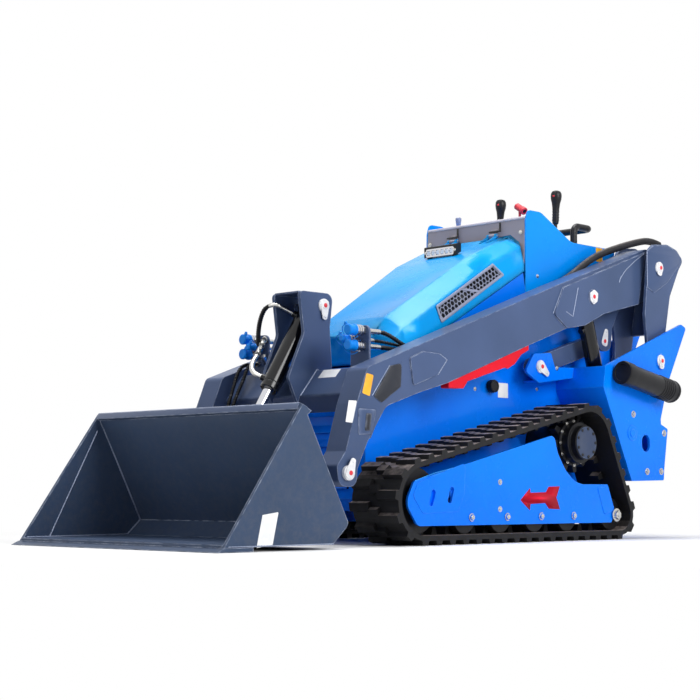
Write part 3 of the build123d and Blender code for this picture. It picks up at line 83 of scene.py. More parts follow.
class Shader:
    """Node tree of one material, with the moves that the finishes share."""

    def __init__(self, name: str) -> None:
        """Start an empty finish.

        Args:
            name: the material's name.
        """
        self.material = bpy.data.materials.new(name)
        self.material.use_nodes = True
        self.tree = self.material.node_tree
        self.surface = self.tree.nodes["Principled BSDF"]
        self.place = self.add("ShaderNodeTexCoord").outputs["Object"]

    def add(self, kind: str, sockets: Optional[dict] = None, **settings: object) -> bpy.types.Node:
        """Add a node, set its properties, and fill its sockets with values or links.

        Args:
            kind: the node's type.
            sockets: values or output sockets by the name or number of the input they go to.
            settings: properties of the node.

        Returns:
            The new node.
        """
        node = self.tree.nodes.new(kind)
        for key, value in settings.items():
            setattr(node, key, value)
        for key, value in (sockets or {}).items():
            if isinstance(value, bpy.types.NodeSocket):
                self.tree.links.new(value, node.inputs[key])
            else:
                node.inputs[key].default_value = value
        return node

    def noise(self, scale: float, detail: float = 2.0, roughness: float = 0.5,
              place: Optional[bpy.types.NodeSocket] = None) -> bpy.types.NodeSocket:
        """Cloudy value from 0 to 1, `scale` clouds to the metre."""
        sockets = {"Vector": place or self.place, "Scale": scale, "Detail": detail, "Roughness": roughness}
        return self.add("ShaderNodeTexNoise", sockets).outputs["Fac"]

    def ramp(self, value: bpy.types.NodeSocket, low: float, high: float, start: float = 0.0,
             end: float = 1.0) -> bpy.types.NodeSocket:
        """`value` spread from low..high to start..end, held at both ends."""
        sockets = {"Value": value, "From Min": low, "From Max": high, "To Min": start, "To Max": end}
        return self.add("ShaderNodeMapRange", sockets).outputs["Result"]

    def maths(self, operation: str, first: object, second: object = 0.0) -> bpy.types.NodeSocket:
        """One sum on two values."""
        return self.add("ShaderNodeMath", {0: first, 1: second}, operation=operation).outputs[0]

    def blend(self, share: bpy.types.NodeSocket, first: object, second: object) -> bpy.types.NodeSocket:
        """Colour between `first` and `second`, which are hex codes or sockets."""
        ends = {6 + i: tint(c) if isinstance(c, str) else c for i, c in enumerate((first, second))}
        return self.add("ShaderNodeMix", {0: share, **ends}, data_type="RGBA").outputs[2]

    def height(self, axis: str = "Z") -> bpy.types.NodeSocket:
        """One coordinate of the point that is shaded, in metres."""
        return self.add("ShaderNodeSeparateXYZ", {0: self.place}).outputs[axis]

    def edges(self, radius: float) -> bpy.types.NodeSocket:
        """1 along edges of the shape, 0 on its faces; it rounds the edges to `radius` metres as well."""
        soft = self.add("ShaderNodeBevel", {"Radius": radius}, samples=4).outputs["Normal"]
        plain = self.add("ShaderNodeNewGeometry").outputs["Normal"]
        match = self.add("ShaderNodeVectorMath", {0: soft, 1: plain}, operation="DOT_PRODUCT").outputs["Value"]
        self.put("Normal", soft)
        return self.ramp(match, 0.995, 0.93)

    def upward(self) -> bpy.types.NodeSocket:
        """How much the surface faces up, from 0 to 1."""
        plain = self.add("ShaderNodeNewGeometry").outputs["Normal"]
        return self.ramp(self.add("ShaderNodeSeparateXYZ", {0: plain}).outputs["Z"], 0.55, 0.92)

    def dent(self, relief: bpy.types.NodeSocket, strength: float, depth: float) -> None:
        """Bump the surface by `relief`, `depth` metres at the most."""
        before = self.surface.inputs["Normal"].links
        sockets = {"Height": relief, "Strength": strength, "Distance": depth}
        if before:
            sockets["Normal"] = before[0].from_socket
        self.put("Normal", self.add("ShaderNodeBump", sockets).outputs["Normal"])

    def put(self, name: str, value: object) -> None:
        """Set or link a socket of the surface shader."""
        if isinstance(value, bpy.types.NodeSocket):
            self.tree.links.new(value, self.surface.inputs[name])
        else:
            self.surface.inputs[name].default_value = tint(value) if isinstance(value, str) else value


@dataclass(frozen=True)
class Finish:
    """What a surface looks like.

    Attributes:
        name: the material's name.
        colour: main colour as sRGB hex.
        shade: the colour that it wanders to.
        roughness: mean roughness.
    """

    name: str
    colour: str
    shade: str
    roughness: float = 0.5

    def dress(self, shader: Shader) -> None:
        """Fill the shader in; each kind of finish has its own way."""
        raise NotImplementedError

    def material(self) -> bpy.types.Material:
        """The material, made on first use and shared afterwards."""
        made = bpy.data.materials.get(self.name)
        if made is None:
            shader = Shader(self.name)
            self.dress(shader)
            made = shader.material
        return made


@dataclass(frozen=True)
class Enamel(Finish):
    """Sprayed paint on steel: faint clouds, orange peel and a little dust low down."""

    coat: float = 0.12
    peel: float = 0.08
    dust: float = 0.12
    # Pale edge colour and its share: partly worn paint, partly painted highlight on the rounded edges
    worn_and_edge_highlight: str = "#8FA3C4"
    wear_and_edge_highlight: float = 0.35
    gleam: str = "#FFFFFF"
    fold: float = EDGE_ROUND

    def dress(self, shader: Shader) -> None:
        """Paint with its clouds, peel and dust, paler along the rounded edges as worn paint and painted highlight."""
        tone = shader.blend(shader.ramp(shader.noise(2.4, 4.0), 0.35, 0.65), self.colour, self.shade)
        low = shader.ramp(shader.height(), 0.05, 0.75, self.dust, 0.0)
        specks = shader.ramp(shader.noise(38.0, 6.0, 0.7), 0.42, 0.72)
        dirt = shader.maths("MULTIPLY", low, specks)
        tone = shader.blend(dirt, tone, "#7C766C")
        # Paler colour along the rounded edges: partly worn paint, partly painted highlight
        edge = shader.maths("MULTIPLY", shader.edges(self.fold), shader.ramp(shader.noise(26.0, 4.0), 0.35, 0.6))
        shader.put("Base Color", shader.blend(shader.maths("MULTIPLY", edge, self.wear_and_edge_highlight), tone, self.worn_and_edge_highlight))
        smear = shader.ramp(shader.noise(9.0, 5.0, 0.6), 0.3, 0.7, self.roughness - 0.05, self.roughness + 0.07)
        shader.put("Roughness", smear)
        shader.put("Specular IOR Level", 0.3)
        shader.put("Specular Tint", self.gleam)
        shader.put("Coat Weight", self.coat)
        shader.put("Coat Tint", self.gleam)
        shader.put("Coat Roughness", 0.06)
        shader.dent(shader.noise(310.0, 1.0), self.peel, 0.0006)


@dataclass(frozen=True)
class Plated(Finish):
    """Bare or plated metal, with clouded brightness and fine marks."""

    grain: float = 260.0
    relief: float = 0.05

    def dress(self, shader: Shader) -> None:
        """Metal with its grain."""
        shader.put("Metallic", 1.0)
        cells = shader.add("ShaderNodeTexVoronoi", {"Vector": shader.place, "Scale": self.grain}).outputs["Color"]
        level = shader.ramp(shader.add("ShaderNodeRGBToBW", {0: cells}).outputs[0], 0.0, 1.0)
        shader.put("Base Color", shader.blend(level, self.colour, self.shade))
        shader.put("Roughness", shader.ramp(shader.noise(60.0, 4.0), 0.3, 0.7, self.roughness * 0.8,
                                            self.roughness * 1.25))
        shader.dent(shader.noise(self.grain, 3.0), self.relief, 0.0004)


@dataclass(frozen=True)
class Cast(Finish):
    """Painted iron castings with their sandy skin."""

    def dress(self, shader: Shader) -> None:
        """Iron with a sandy skin."""
        shader.put("Base Color", shader.blend(shader.ramp(shader.noise(14.0, 5.0, 0.6), 0.3, 0.7), self.colour,
                                              self.shade))
        shader.put("Roughness", shader.ramp(shader.noise(40.0, 3.0), 0.3, 0.7, self.roughness - 0.1,
                                            self.roughness + 0.1))
        shader.put("Metallic", 0.35)
        shader.dent(shader.noise(520.0, 4.0, 0.7), 0.35, 0.0008)


@dataclass(frozen=True)
class Moulded(Finish):
    """Moulded rubber or plastic with its grain, a bloom, and pale dust with painted top light on what faces up.

    Attributes:
        grain: cells to the metre.
        bloom: how much of the shade shows.
        relief: strength of the grain.
        dust: share of pale dust and painted top light on what faces up.
    """

    grain: float = 700.0
    bloom: float = 1.0
    relief: float = 0.2
    dust: float = 0.0

    def dress(self, shader: Shader) -> None:
        """Grained skin with a bloom, and pale dust with painted top light on what faces up."""
        cloud = shader.ramp(shader.noise(7.0, 6.0, 0.65), 0.35, 0.7, 0.0, self.bloom)
        tone = shader.blend(cloud, self.colour, self.shade)
        if self.dust:
            lit_dust = shader.maths("MULTIPLY", shader.upward(), shader.ramp(shader.noise(30.0, 5.0, 0.7), 0.3, 0.6))
            tone = shader.blend(shader.maths("MULTIPLY", lit_dust, self.dust), tone, DUST_AND_TOP_LIGHT)
        shader.put("Base Color", tone)
        shader.put("Roughness", shader.ramp(shader.noise(25.0, 4.0), 0.3, 0.7, self.roughness - 0.08,
                                            self.roughness + 0.08))
        shader.put("Specular IOR Level", 0.28)
        cells = shader.add("ShaderNodeTexVoronoi", {"Vector": shader.place, "Scale": self.grain}).outputs["Distance"]
        shader.dent(cells, self.relief, 0.0005)


@dataclass(frozen=True)
class Vinyl(Finish):
    """Printed film: plain, faintly mottled, glossy."""

    def dress(self, shader: Shader) -> None:
        """Film with a faint mottle and ripples."""
        shader.put("Base Color", shader.blend(shader.ramp(shader.noise(30.0, 2.0), 0.4, 0.6), self.colour,
                                              self.shade))
        shader.put("Roughness", self.roughness)
        shader.put("Coat Weight", 0.4)
        shader.dent(shader.noise(90.0, 2.0), 0.08, 0.0004)


BLUE = Enamel("blue_enamel", "#0084FF", "#0079F8", 0.24, coat=0.12, peel=0.05, dust=0.04, worn_and_edge_highlight="#5FC4FF",
              wear_and_edge_highlight=0.4, gleam="#0E86FF")
# Hood blue: the body blue made lighter and more cyan as painted light on the hood; its wide rounded folds are real
LIT_HOOD_BLUE = Enamel("hood_blue_painted_light_enamel", "#009EE8", "#0095E2", 0.24, coat=0.04, peel=0.05, dust=0.0, worn_and_edge_highlight="#5CD6FF",
                   wear_and_edge_highlight=0.3, gleam="#1CB2FF", fold=0.02)
# Console blue: the body blue made lighter as painted light on the console
LIT_CONSOLE_BLUE = Enamel("console_blue_painted_light_enamel", "#009CFC", "#0092F6", 0.24, coat=0.12, peel=0.05, dust=0.0,
                      worn_and_edge_highlight="#6FD0FF", wear_and_edge_highlight=0.4, gleam="#12A0FF")
SLATE = Enamel("slate_enamel", "#4B5C80", "#425272", 0.32, coat=0.06, peel=0.10, dust=0.1, worn_and_edge_highlight="#C3CEE8",
               wear_and_edge_highlight=0.75, gleam="#A9BBE0")
# Bucket slate: a darker copy of the arms' slate as painted shade, with more dust and more pale edges
SHADED_BUCKET_SLATE = Enamel("bucket_slate_shaded_enamel", "#40506B", "#3A4961", 0.36, coat=0.04, peel=0.10, dust=0.16,
                      worn_and_edge_highlight="#C9D2E6", wear_and_edge_highlight=0.9, gleam="#A9BBE0")
# Lip slate: a paler copy of the slate as painted light on the upward-facing lip
LIT_LIP_SLATE = Enamel("lip_slate_painted_light_enamel", "#66738F", "#5B6782", 0.34, dust=0.0, worn_and_edge_highlight="#D4DCEC", wear_and_edge_highlight=0.8,
                   gleam="#C4D0EA")
# Nearly black slate: painted shade on bent faces and in recesses
SHADE_SLATE = Enamel("painted_shade_slate_enamel", "#20242F", "#1B1F29", 0.38, coat=0.05, worn_and_edge_highlight="#8E99B2", wear_and_edge_highlight=0.6)
HUB_SLATE = Enamel("hub_slate_enamel", "#3B4760", "#364158", 0.40, gleam="#A9BBE0")
RED = Enamel("red_enamel", "#E0142C", "#D01026", 0.32, coat=0.1, worn_and_edge_highlight="#F4707E", gleam="#FF6A78")
ARROW_RED = Enamel("arrow_red_enamel", "#F0243E", "#E81F38", 0.5, coat=0.0, dust=0.0, wear_and_edge_highlight=0.0, gleam="#FF8A94")
PLATE_GREY = Enamel("grey_plate_enamel", "#9B97A2", "#8F8B97", 0.42, worn_and_edge_highlight="#DAD6DF")
# Pale grey: the console plate's grey made paler as painted highlight on its folded rim
PALE_GREY_HIGHLIGHT = Enamel("pale_grey_highlight_enamel", "#D0CCD8", "#C6C2CE", 0.38, worn_and_edge_highlight="#F2F0F6")
RIM_GREY = Enamel("grey_rim_enamel", "#8F96AE", "#868DA6", 0.36, worn_and_edge_highlight="#CDD2E2")
# Weld beads drawn paler than the paint around them: painted highlight on their ripples
WELD_HIGHLIGHT = Cast("weld_bead_painted_highlight", "#A4AFC8", "#7E89A4", 0.36)
BLUE_WELD_HIGHLIGHT = Cast("blue_weld_bead_painted_highlight", "#2FA6FF", "#1C93F2", 0.36)
GLOSS_BLACK = Enamel("gloss_black_enamel", "#08090C", "#0C0D11", 0.16, coat=0.3, peel=0.03, dust=0.0,
                     worn_and_edge_highlight="#4A4E58", wear_and_edge_highlight=0.25)
SATIN_BLACK = Enamel("satin_black_enamel", "#0D0E12", "#121318", 0.42, coat=0.0, dust=0.04, worn_and_edge_highlight="#4A4E58")
CHROME = Plated("hard_chrome", "#DCDDE2", "#CFD0D6", 0.08, grain=900.0, relief=0.01)
ZINC = Plated("bright_zinc", "#D2D3D4", "#B9B6AC", 0.26, grain=420.0, relief=0.05)
IRON = Cast("cast_iron_skin", "#1B1C20", "#2A2B30", 0.55)
# Track rubber and sleeve: pale dust on what faces up, which is also painted top light
TRACK_RUBBER = Moulded("track_rubber", "#0B0B0E", "#141418", 0.62, grain=420.0, relief=0.18, dust=0.95)
HOSE_RUBBER = Moulded("hose_rubber", "#0A0B0E", "#111217", 0.4, grain=900.0, relief=0.15)
SLEEVE_CLOTH = Moulded("woven_sleeve", "#18181C", "#26262B", 0.6, grain=520.0, relief=0.6, dust=0.3)
GUARD_PLASTIC = Moulded("spiral_guard", "#15161B", "#22242B", 0.26, grain=1500.0, relief=0.05)
KHAKI_PLASTIC = Moulded("khaki_plastic", "#7A7258", "#655E49", 0.5, grain=900.0)
LIME_PLASTIC = Moulded("lime_plastic", "#C6E21A", "#B4CF14", 0.4, grain=900.0)
RED_PLASTIC = Moulded("red_plastic", "#E5404A", "#D7343F", 0.4, grain=1200.0, relief=0.08)
LENS = Vinyl("clear_lens", "#F4F6FA", "#E2E6EE", 0.12)
KEEPER_WHITE = Vinyl("white_keeper_paint", "#EDEEF0", "#DDDEE2", 0.3)
BLACK_PLASTIC = Moulded("black_plastic_grain", "#0C0D11", "#15161B", 0.36, grain=1300.0, relief=0.12)
BLUE_PLASTIC = Moulded("blue_plastic_cap", "#008CF2", "#007EE6", 0.35, grain=1100.0, relief=0.05)
WHITE_FILM = Vinyl("white_film", "#F1F2F3", "#E7E9EC", 0.35)
YELLOW_FILM = Vinyl("yellow_film", "#F7B413", "#F0A90C", 0.35)

FINISHES: dict[Finish, tuple[str, tuple[str, ...]]] = {
    BLUE: ("blue_paint", ("side_panel_left", "side_panel_right", "front_panel", "floor_pan", "tower_left",
                          "tower_right", "track_frame_left", "track_frame_right", "platform_hinge")),
    LIT_HOOD_BLUE: ("blue_paint", ("hood",)),
    LIT_CONSOLE_BLUE: ("blue_paint", ("console",)),
    SHADED_BUCKET_SLATE: ("dark_paint", ("bucket",)),
    SLATE: ("dark_paint", ("arm_left", "arm_right", "cross_tube", "tilt_bracket", "coupler_block_left",
                           "coupler_block_right", "rear_link_left", "rear_link_right", "control_link_left",
                           "control_link_right", "coupler", "platform")),
    RED: ("red_paint", ("arm_locks",)),
    PLATE_GREY: ("grey_plate", ("console_front",)),
    GLOSS_BLACK: ("gloss_black", ("lift_barrel_left", "lift_barrel_right", "tilt_barrel")),
    SATIN_BLACK: ("black_steel", ("sprocket_left", "sprocket_right", "track_rollers")),
    CHROME: ("chrome_rod", ("lift_rod_left", "lift_rod_right", "tilt_rod")),
    ZINC: ("zinc_steel", ("aux_couplers_left", "aux_couplers_right")),
    IRON: ("cast_iron", ("engine_block",)),
    TRACK_RUBBER: ("rubber", ("track_left", "track_right")),
    BLACK_PLASTIC: ("black_plastic", ("grab_bar", "document_tube", "work_light", "filler_cap")),
}
SLOTS = {finish: slot for finish, (slot, _) in FINISHES.items()}
SLOTS.update({
    SHADE_SLATE: "dark_paint", LIT_LIP_SLATE: "dark_paint", HUB_SLATE: "dark_paint", WELD_HIGHLIGHT: "dark_paint", BLUE_WELD_HIGHLIGHT: "blue_paint",
    ARROW_RED: "red_paint", RIM_GREY: "grey_plate", PALE_GREY_HIGHLIGHT: "grey_plate", HOSE_RUBBER: "rubber", SLEEVE_CLOTH: "rubber",
    GUARD_PLASTIC: "black_plastic", KHAKI_PLASTIC: "black_plastic", LIME_PLASTIC: "black_plastic",
    BLUE_PLASTIC: "blue_paint", RED_PLASTIC: "red_paint", LENS: "zinc_steel", KEEPER_WHITE: "zinc_steel",
    WHITE_FILM: "zinc_steel", YELLOW_FILM: "grey_plate",
})


# Workshop


class Face(Enum):
    """Side of the machine that a flat shape is laid on, by its across, up and outward directions."""

    SIDE = ((0, 1, 0), (0, 0, 1), (1, 0, 0))
    FRONT = ((1, 0, 0), (0, 0, 1), (0, -1, 0))
    REAR = ((-1, 0, 0), (0, 0, 1), (0, 1, 0))
    TOP = ((1, 0, 0), (0, 1, 0), (0, 0, 1))


def deselect() -> None:
    """Leave nothing selected."""
    bpy.ops.object.select_all(action="DESELECT")


def pick(*objects: bpy.types.Object) -> None:
    """Select these objects alone, the first of them active."""
    deselect()
    for item in objects:
        item.select_set(True)
    bpy.context.view_layer.objects.active = objects[0]


def settle(item: bpy.types.Object, name: str, finish: Finish, smooth: float = 32.0) -> bpy.types.Object:
    """Name a mesh, put its place in its vertices, smooth it up to an angle and give it its finish."""
    pick(item)
    bpy.ops.object.transform_apply(location=True, rotation=True, scale=True)
    bpy.ops.object.shade_smooth_by_angle(angle=math.radians(smooth))
    item.name = item.data.name = name
    item.data.materials.clear()
    item.data.materials.append(finish.material())
    if finish in SLOTS:
        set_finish(item, SLOTS[finish])
    return item


def fuse(items: Sequence[bpy.types.Object], name: str) -> bpy.types.Object:
    """Join finished meshes into one piece called `name`."""
    pick(*items)
    if len(items) > 1:
        bpy.ops.object.join()
    joined = bpy.context.view_layer.objects.active
    joined.name = joined.data.name = name
    return joined


def mounted(item: bpy.types.Object, body: str, *replaced: str) -> bpy.types.Object:
    """Hang a finished piece on its body, in place of the solids it stands for."""
    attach(item, body)
    if replaced:
        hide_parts(*replaced)
    log.info("%s rides on %s", item.name, body)
    return item


def rounded(corners: Sequence[Corner], steps: int = 6) -> list[tuple[float, float]]:
    """Outline from (a, b) or (a, b, radius) corners, the rounded ones given as short runs."""
    points = []
    count = len(corners)
    for i, corner in enumerate(corners):
        here = Vector(corner[:2])
        radius = corner[2] if len(corner) > 2 else 0.0
        back = Vector(corners[i - 1][:2]) - here
        ahead = Vector(corners[(i + 1) % count][:2]) - here
        if not radius:
            points.append((here.x, here.y))
            continue
        half = back.angle(ahead) / 2
        reach = min(radius / math.tan(half), 0.49 * back.length, 0.49 * ahead.length)
        radius = reach * math.tan(half)
        centre = here + (back.normalized() + ahead.normalized()).normalized() * radius / math.sin(half)
        first = here + back.normalized() * reach - centre
        last = here + ahead.normalized() * reach - centre
        turn = first.angle_signed(last)
        for k in range(steps + 1):
            spoke = first.copy()
            spoke.rotate(Matrix.Rotation(-turn * k / steps, 2))
            points.append((centre.x + spoke.x, centre.y + spoke.y))
    return points


def oriented(face: Face, origin: Vector) -> Matrix:
    """Turn and place from a face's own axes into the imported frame."""
    across, up, out = (Vector(v) for v in face.value)
    turn = Matrix((across, up, out)).transposed().to_4x4()
    return Matrix.Translation(origin) @ turn


def cut_plate(corners: Sequence[Corner], thick: float, edge: float, place: Matrix,
              holes: Sequence[Sequence[Corner]] = ()) -> bpy.types.Object:
    """Flat plate cut to an outline, with a softened edge.

    Args:
        corners: outline in millimetres, across and up.
        thick: thickness in millimetres, outwards from the face it lies on.
        edge: size of the softened edge in millimetres.
        place: turn and place of the face.
        holes: outlines left open.

    Returns:
        The plate as a mesh, not yet settled.
    """
    curve = bpy.data.curves.new("plate", "CURVE")
    curve.dimensions = "2D"
    curve.fill_mode = "BOTH"
    for outline in (corners, *holes):
        points = rounded(outline)
        spline = curve.splines.new("POLY")
        spline.points.add(len(points) - 1)
        for target, (a, b) in zip(spline.points, points):
            target.co = (a / 1000, b / 1000, 0, 1)
        spline.use_cyclic_u = True
    curve.extrude = thick / 2000 - edge / 1000
    curve.bevel_depth = edge / 1000
    curve.offset = -edge / 1000
    curve.bevel_resolution = 1
    plate = bpy.data.objects.new("plate", curve)
    bpy.context.scene.collection.objects.link(plate)
    pick(plate)
    bpy.ops.object.convert(target="MESH")
    plate = bpy.context.view_layer.objects.active
    bpy.ops.object.mode_set(mode="EDIT")
    bpy.ops.mesh.select_all(action="SELECT")
    bpy.ops.mesh.remove_doubles(threshold=0.00001)
    bpy.ops.mesh.normals_make_consistent(inside=False)
    bpy.ops.object.mode_set(mode="OBJECT")
    plate.matrix_world = place @ Matrix.Translation((0, 0, thick / 2000))
    return plate


def aim(direction: Vector) -> Matrix:
    """Turn that takes +Z to `direction`."""
    return direction.to_track_quat("Z", "Y").to_matrix().to_4x4()


def copies(master: bpy.types.Object, places: Iterable[Matrix]) -> list[bpy.types.Object]:
    """Copies of a mesh, each with its own data, at these places; the master goes."""
    made = []
    for place in places:
        twin = bpy.data.objects.new(master.name, master.data.copy())
        bpy.context.scene.collection.objects.link(twin)
        twin.matrix_world = place
        made.append(twin)
    bpy.data.objects.remove(master)
    return made


def turned(profile: Sequence[tuple[float, float]], place: Matrix, steps: int = 32) -> bpy.types.Object:
    """Turned part from (radius, height) pairs in millimetres, by spinning one edge chain."""
    bpy.ops.mesh.primitive_plane_add(size=0.001)
    item = bpy.context.view_layer.objects.active
    mesh = bpy.data.meshes.new("turned")
    points = [(r / 1000, 0.0, h / 1000) for r, h in profile]
    chain = [(i, i + 1) for i in range(len(points) - 1)]
    if points[0][0] > 0:
        chain.append((len(points) - 1, 0))
    mesh.from_pydata(points, chain, [])
    item.data = mesh
    pick(item)
    bpy.ops.object.mode_set(mode="EDIT")
    bpy.ops.mesh.select_all(action="SELECT")
    bpy.ops.mesh.spin(steps=steps, angle=math.tau, center=(0, 0, 0), axis=(0, 0, 1))
    bpy.ops.mesh.select_all(action="SELECT")
    bpy.ops.mesh.remove_doubles(threshold=0.00002)
    bpy.ops.mesh.normals_make_consistent(inside=False)
    bpy.ops.object.mode_set(mode="OBJECT")
    item.matrix_world = place
    return item


def hose(name: str, points: Sequence[Point], radius: float, caps: bool = True) -> bpy.types.Object:
    """Smooth tube through the route's points, in millimetres, as a curve."""
    curve = bpy.data.curves.new(name, "CURVE")
    curve.dimensions = "3D"
    curve.resolution_u = 6
    spline = curve.splines.new("NURBS")
    spline.points.add(len(points) - 1)
    for target, point in zip(spline.points, points):
        target.co = (*at(*point), 1.0)
    spline.order_u = 3
    spline.use_endpoint_u = True
    curve.bevel_depth = radius / 1000
    curve.bevel_resolution = 5
    curve.use_fill_caps = caps
    tube = bpy.data.objects.new(name, curve)
    bpy.context.scene.collection.objects.link(tube)
    return tube


def run_of(tube: bpy.types.Object) -> list[Vector]:
    """Points along the middle of a hose, as its own spline gives them."""
    bare = bpy.data.objects.new("bare", tube.data.copy())
    bare.data.bevel_depth = 0.0
    bpy.context.scene.collection.objects.link(bare)
    view = bpy.context.evaluated_depsgraph_get()
    line = bpy.data.meshes.new_from_object(bare.evaluated_get(view))
    points = [v.co.copy() for v in line.vertices]
    bpy.data.objects.remove(bare)
    bpy.data.meshes.remove(line)
    return points


def spot(face: Face, x: float, y: float, z: float) -> Matrix:
    """Turn and place of a face's axes at a point given in the machine's millimetres."""
    return oriented(face, at(x, y, z))


def flat(item: bpy.types.Object) -> bpy.types.Object:
    """Put a mesh's place in its vertices, and its faces outwards."""
    pick(item)
    bpy.ops.object.transform_apply(location=True, rotation=True, scale=True)
    bpy.ops.object.mode_set(mode="EDIT")
    bpy.ops.mesh.select_all(action="SELECT")
    bpy.ops.mesh.normals_make_consistent(inside=False)
    bpy.ops.object.mode_set(mode="OBJECT")
    return item


def mirrored(item: bpy.types.Object, name: str) -> bpy.types.Object:
    """The same finished piece on the machine's other side, with its own mesh."""
    twin = bpy.data.objects.new(name, item.data.copy())
    bpy.context.scene.collection.objects.link(twin)
    middle = Matrix.Translation((ZERO.x / 1000, 0, 0))
    twin.matrix_world = middle @ Matrix.Diagonal((-1, 1, 1, 1)) @ middle.inverted()
    flat(twin)
    twin.data.name = name
    if "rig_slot" in item:
        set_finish(twin, item["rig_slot"])
    return twin


def soften(item: bpy.types.Object, size: float, wanted: Callable[[Vector], bool]) -> None:
    """Bevel the edges of a mesh whose middles are wanted, by `size` millimetres."""
    pick(item)
    bpy.context.tool_settings.mesh_select_mode = (False, True, False)
    mesh = item.data
    for part in (*mesh.vertices, *mesh.edges, *mesh.polygons):
        part.select = False
    for edge in mesh.edges:
        a, b = (mesh.vertices[v].co for v in edge.vertices)
        edge.select = wanted((a + b) / 2)
    bpy.ops.object.mode_set(mode="EDIT")
    bpy.ops.mesh.bevel(offset=size / 1000, segments=2, affect="EDGES")
    bpy.ops.object.mode_set(mode="OBJECT")


def dome(radius: float, height: float, place: Matrix, sides: int, edge: float) -> bpy.types.Object:
    """Round or many-sided boss standing on a face, its outer rim softened; sizes in millimetres."""
    bpy.ops.mesh.primitive_cylinder_add(vertices=sides, radius=radius / 1000, depth=height / 1000)
    boss = bpy.context.view_layer.objects.active
    top = height / 2000 - 1e-6
    soften(boss, edge, lambda middle: middle.z > top)
    boss.matrix_world = place @ Matrix.Translation((0, 0, height / 2000))
    return boss


def bar(size: Point, place: Matrix, edge: float) -> bpy.types.Object:
    """Block with softened edges about a place; sizes in millimetres."""
    bpy.ops.mesh.primitive_cube_add(size=1.0)
    block = bpy.context.view_layer.objects.active
    block.scale = [v / 1000 for v in size]
    bpy.ops.object.transform_apply(location=False, rotation=False, scale=True)
    soften(block, edge, lambda middle: True)
    block.matrix_world = place
    return block


def grown(corners: Sequence[tuple[float, float]], by: float) -> list[tuple[float, float]]:
    """Convex outline moved out by `by` all round, or in where it is negative."""
    count = len(corners)
    moved = []
    for i, corner in enumerate(corners):
        here = Vector(corner)
        back = (Vector(corners[i - 1]) - here).normalized()
        ahead = (Vector(corners[(i + 1) % count]) - here).normalized()
        reach = by / math.sin(back.angle(ahead) / 2)
        spot_ = here - (back + ahead).normalized() * reach
        moved.append((spot_.x, spot_.y))
    return moved


def tube_along(line: Sequence[Vector], radius: float) -> bpy.types.Object:
    """Round tube as a mesh along points given in metres; its radius is in millimetres."""
    curve = bpy.data.curves.new("tube", "CURVE")
    curve.dimensions = "3D"
    spline = curve.splines.new("POLY")
    spline.points.add(len(line) - 1)
    for target, point in zip(spline.points, line):
        target.co = (*point, 1.0)
    curve.bevel_depth = radius / 1000
    curve.bevel_resolution = 4
    curve.use_fill_caps = True
    item = bpy.data.objects.new("tube", curve)
    bpy.context.scene.collection.objects.link(item)
    pick(item)
    bpy.ops.object.convert(target="MESH")
    return bpy.context.view_layer.objects.active


def wire(points: Sequence[Point], radius: float) -> bpy.types.Object:
    """Smooth thin wire through the machine's points, as a mesh."""
    item = hose("wire", points, radius)
    item.data.bevel_resolution = 2
    pick(item)
    bpy.ops.object.convert(target="MESH")
    return bpy.context.view_layer.objects.active


# Studio


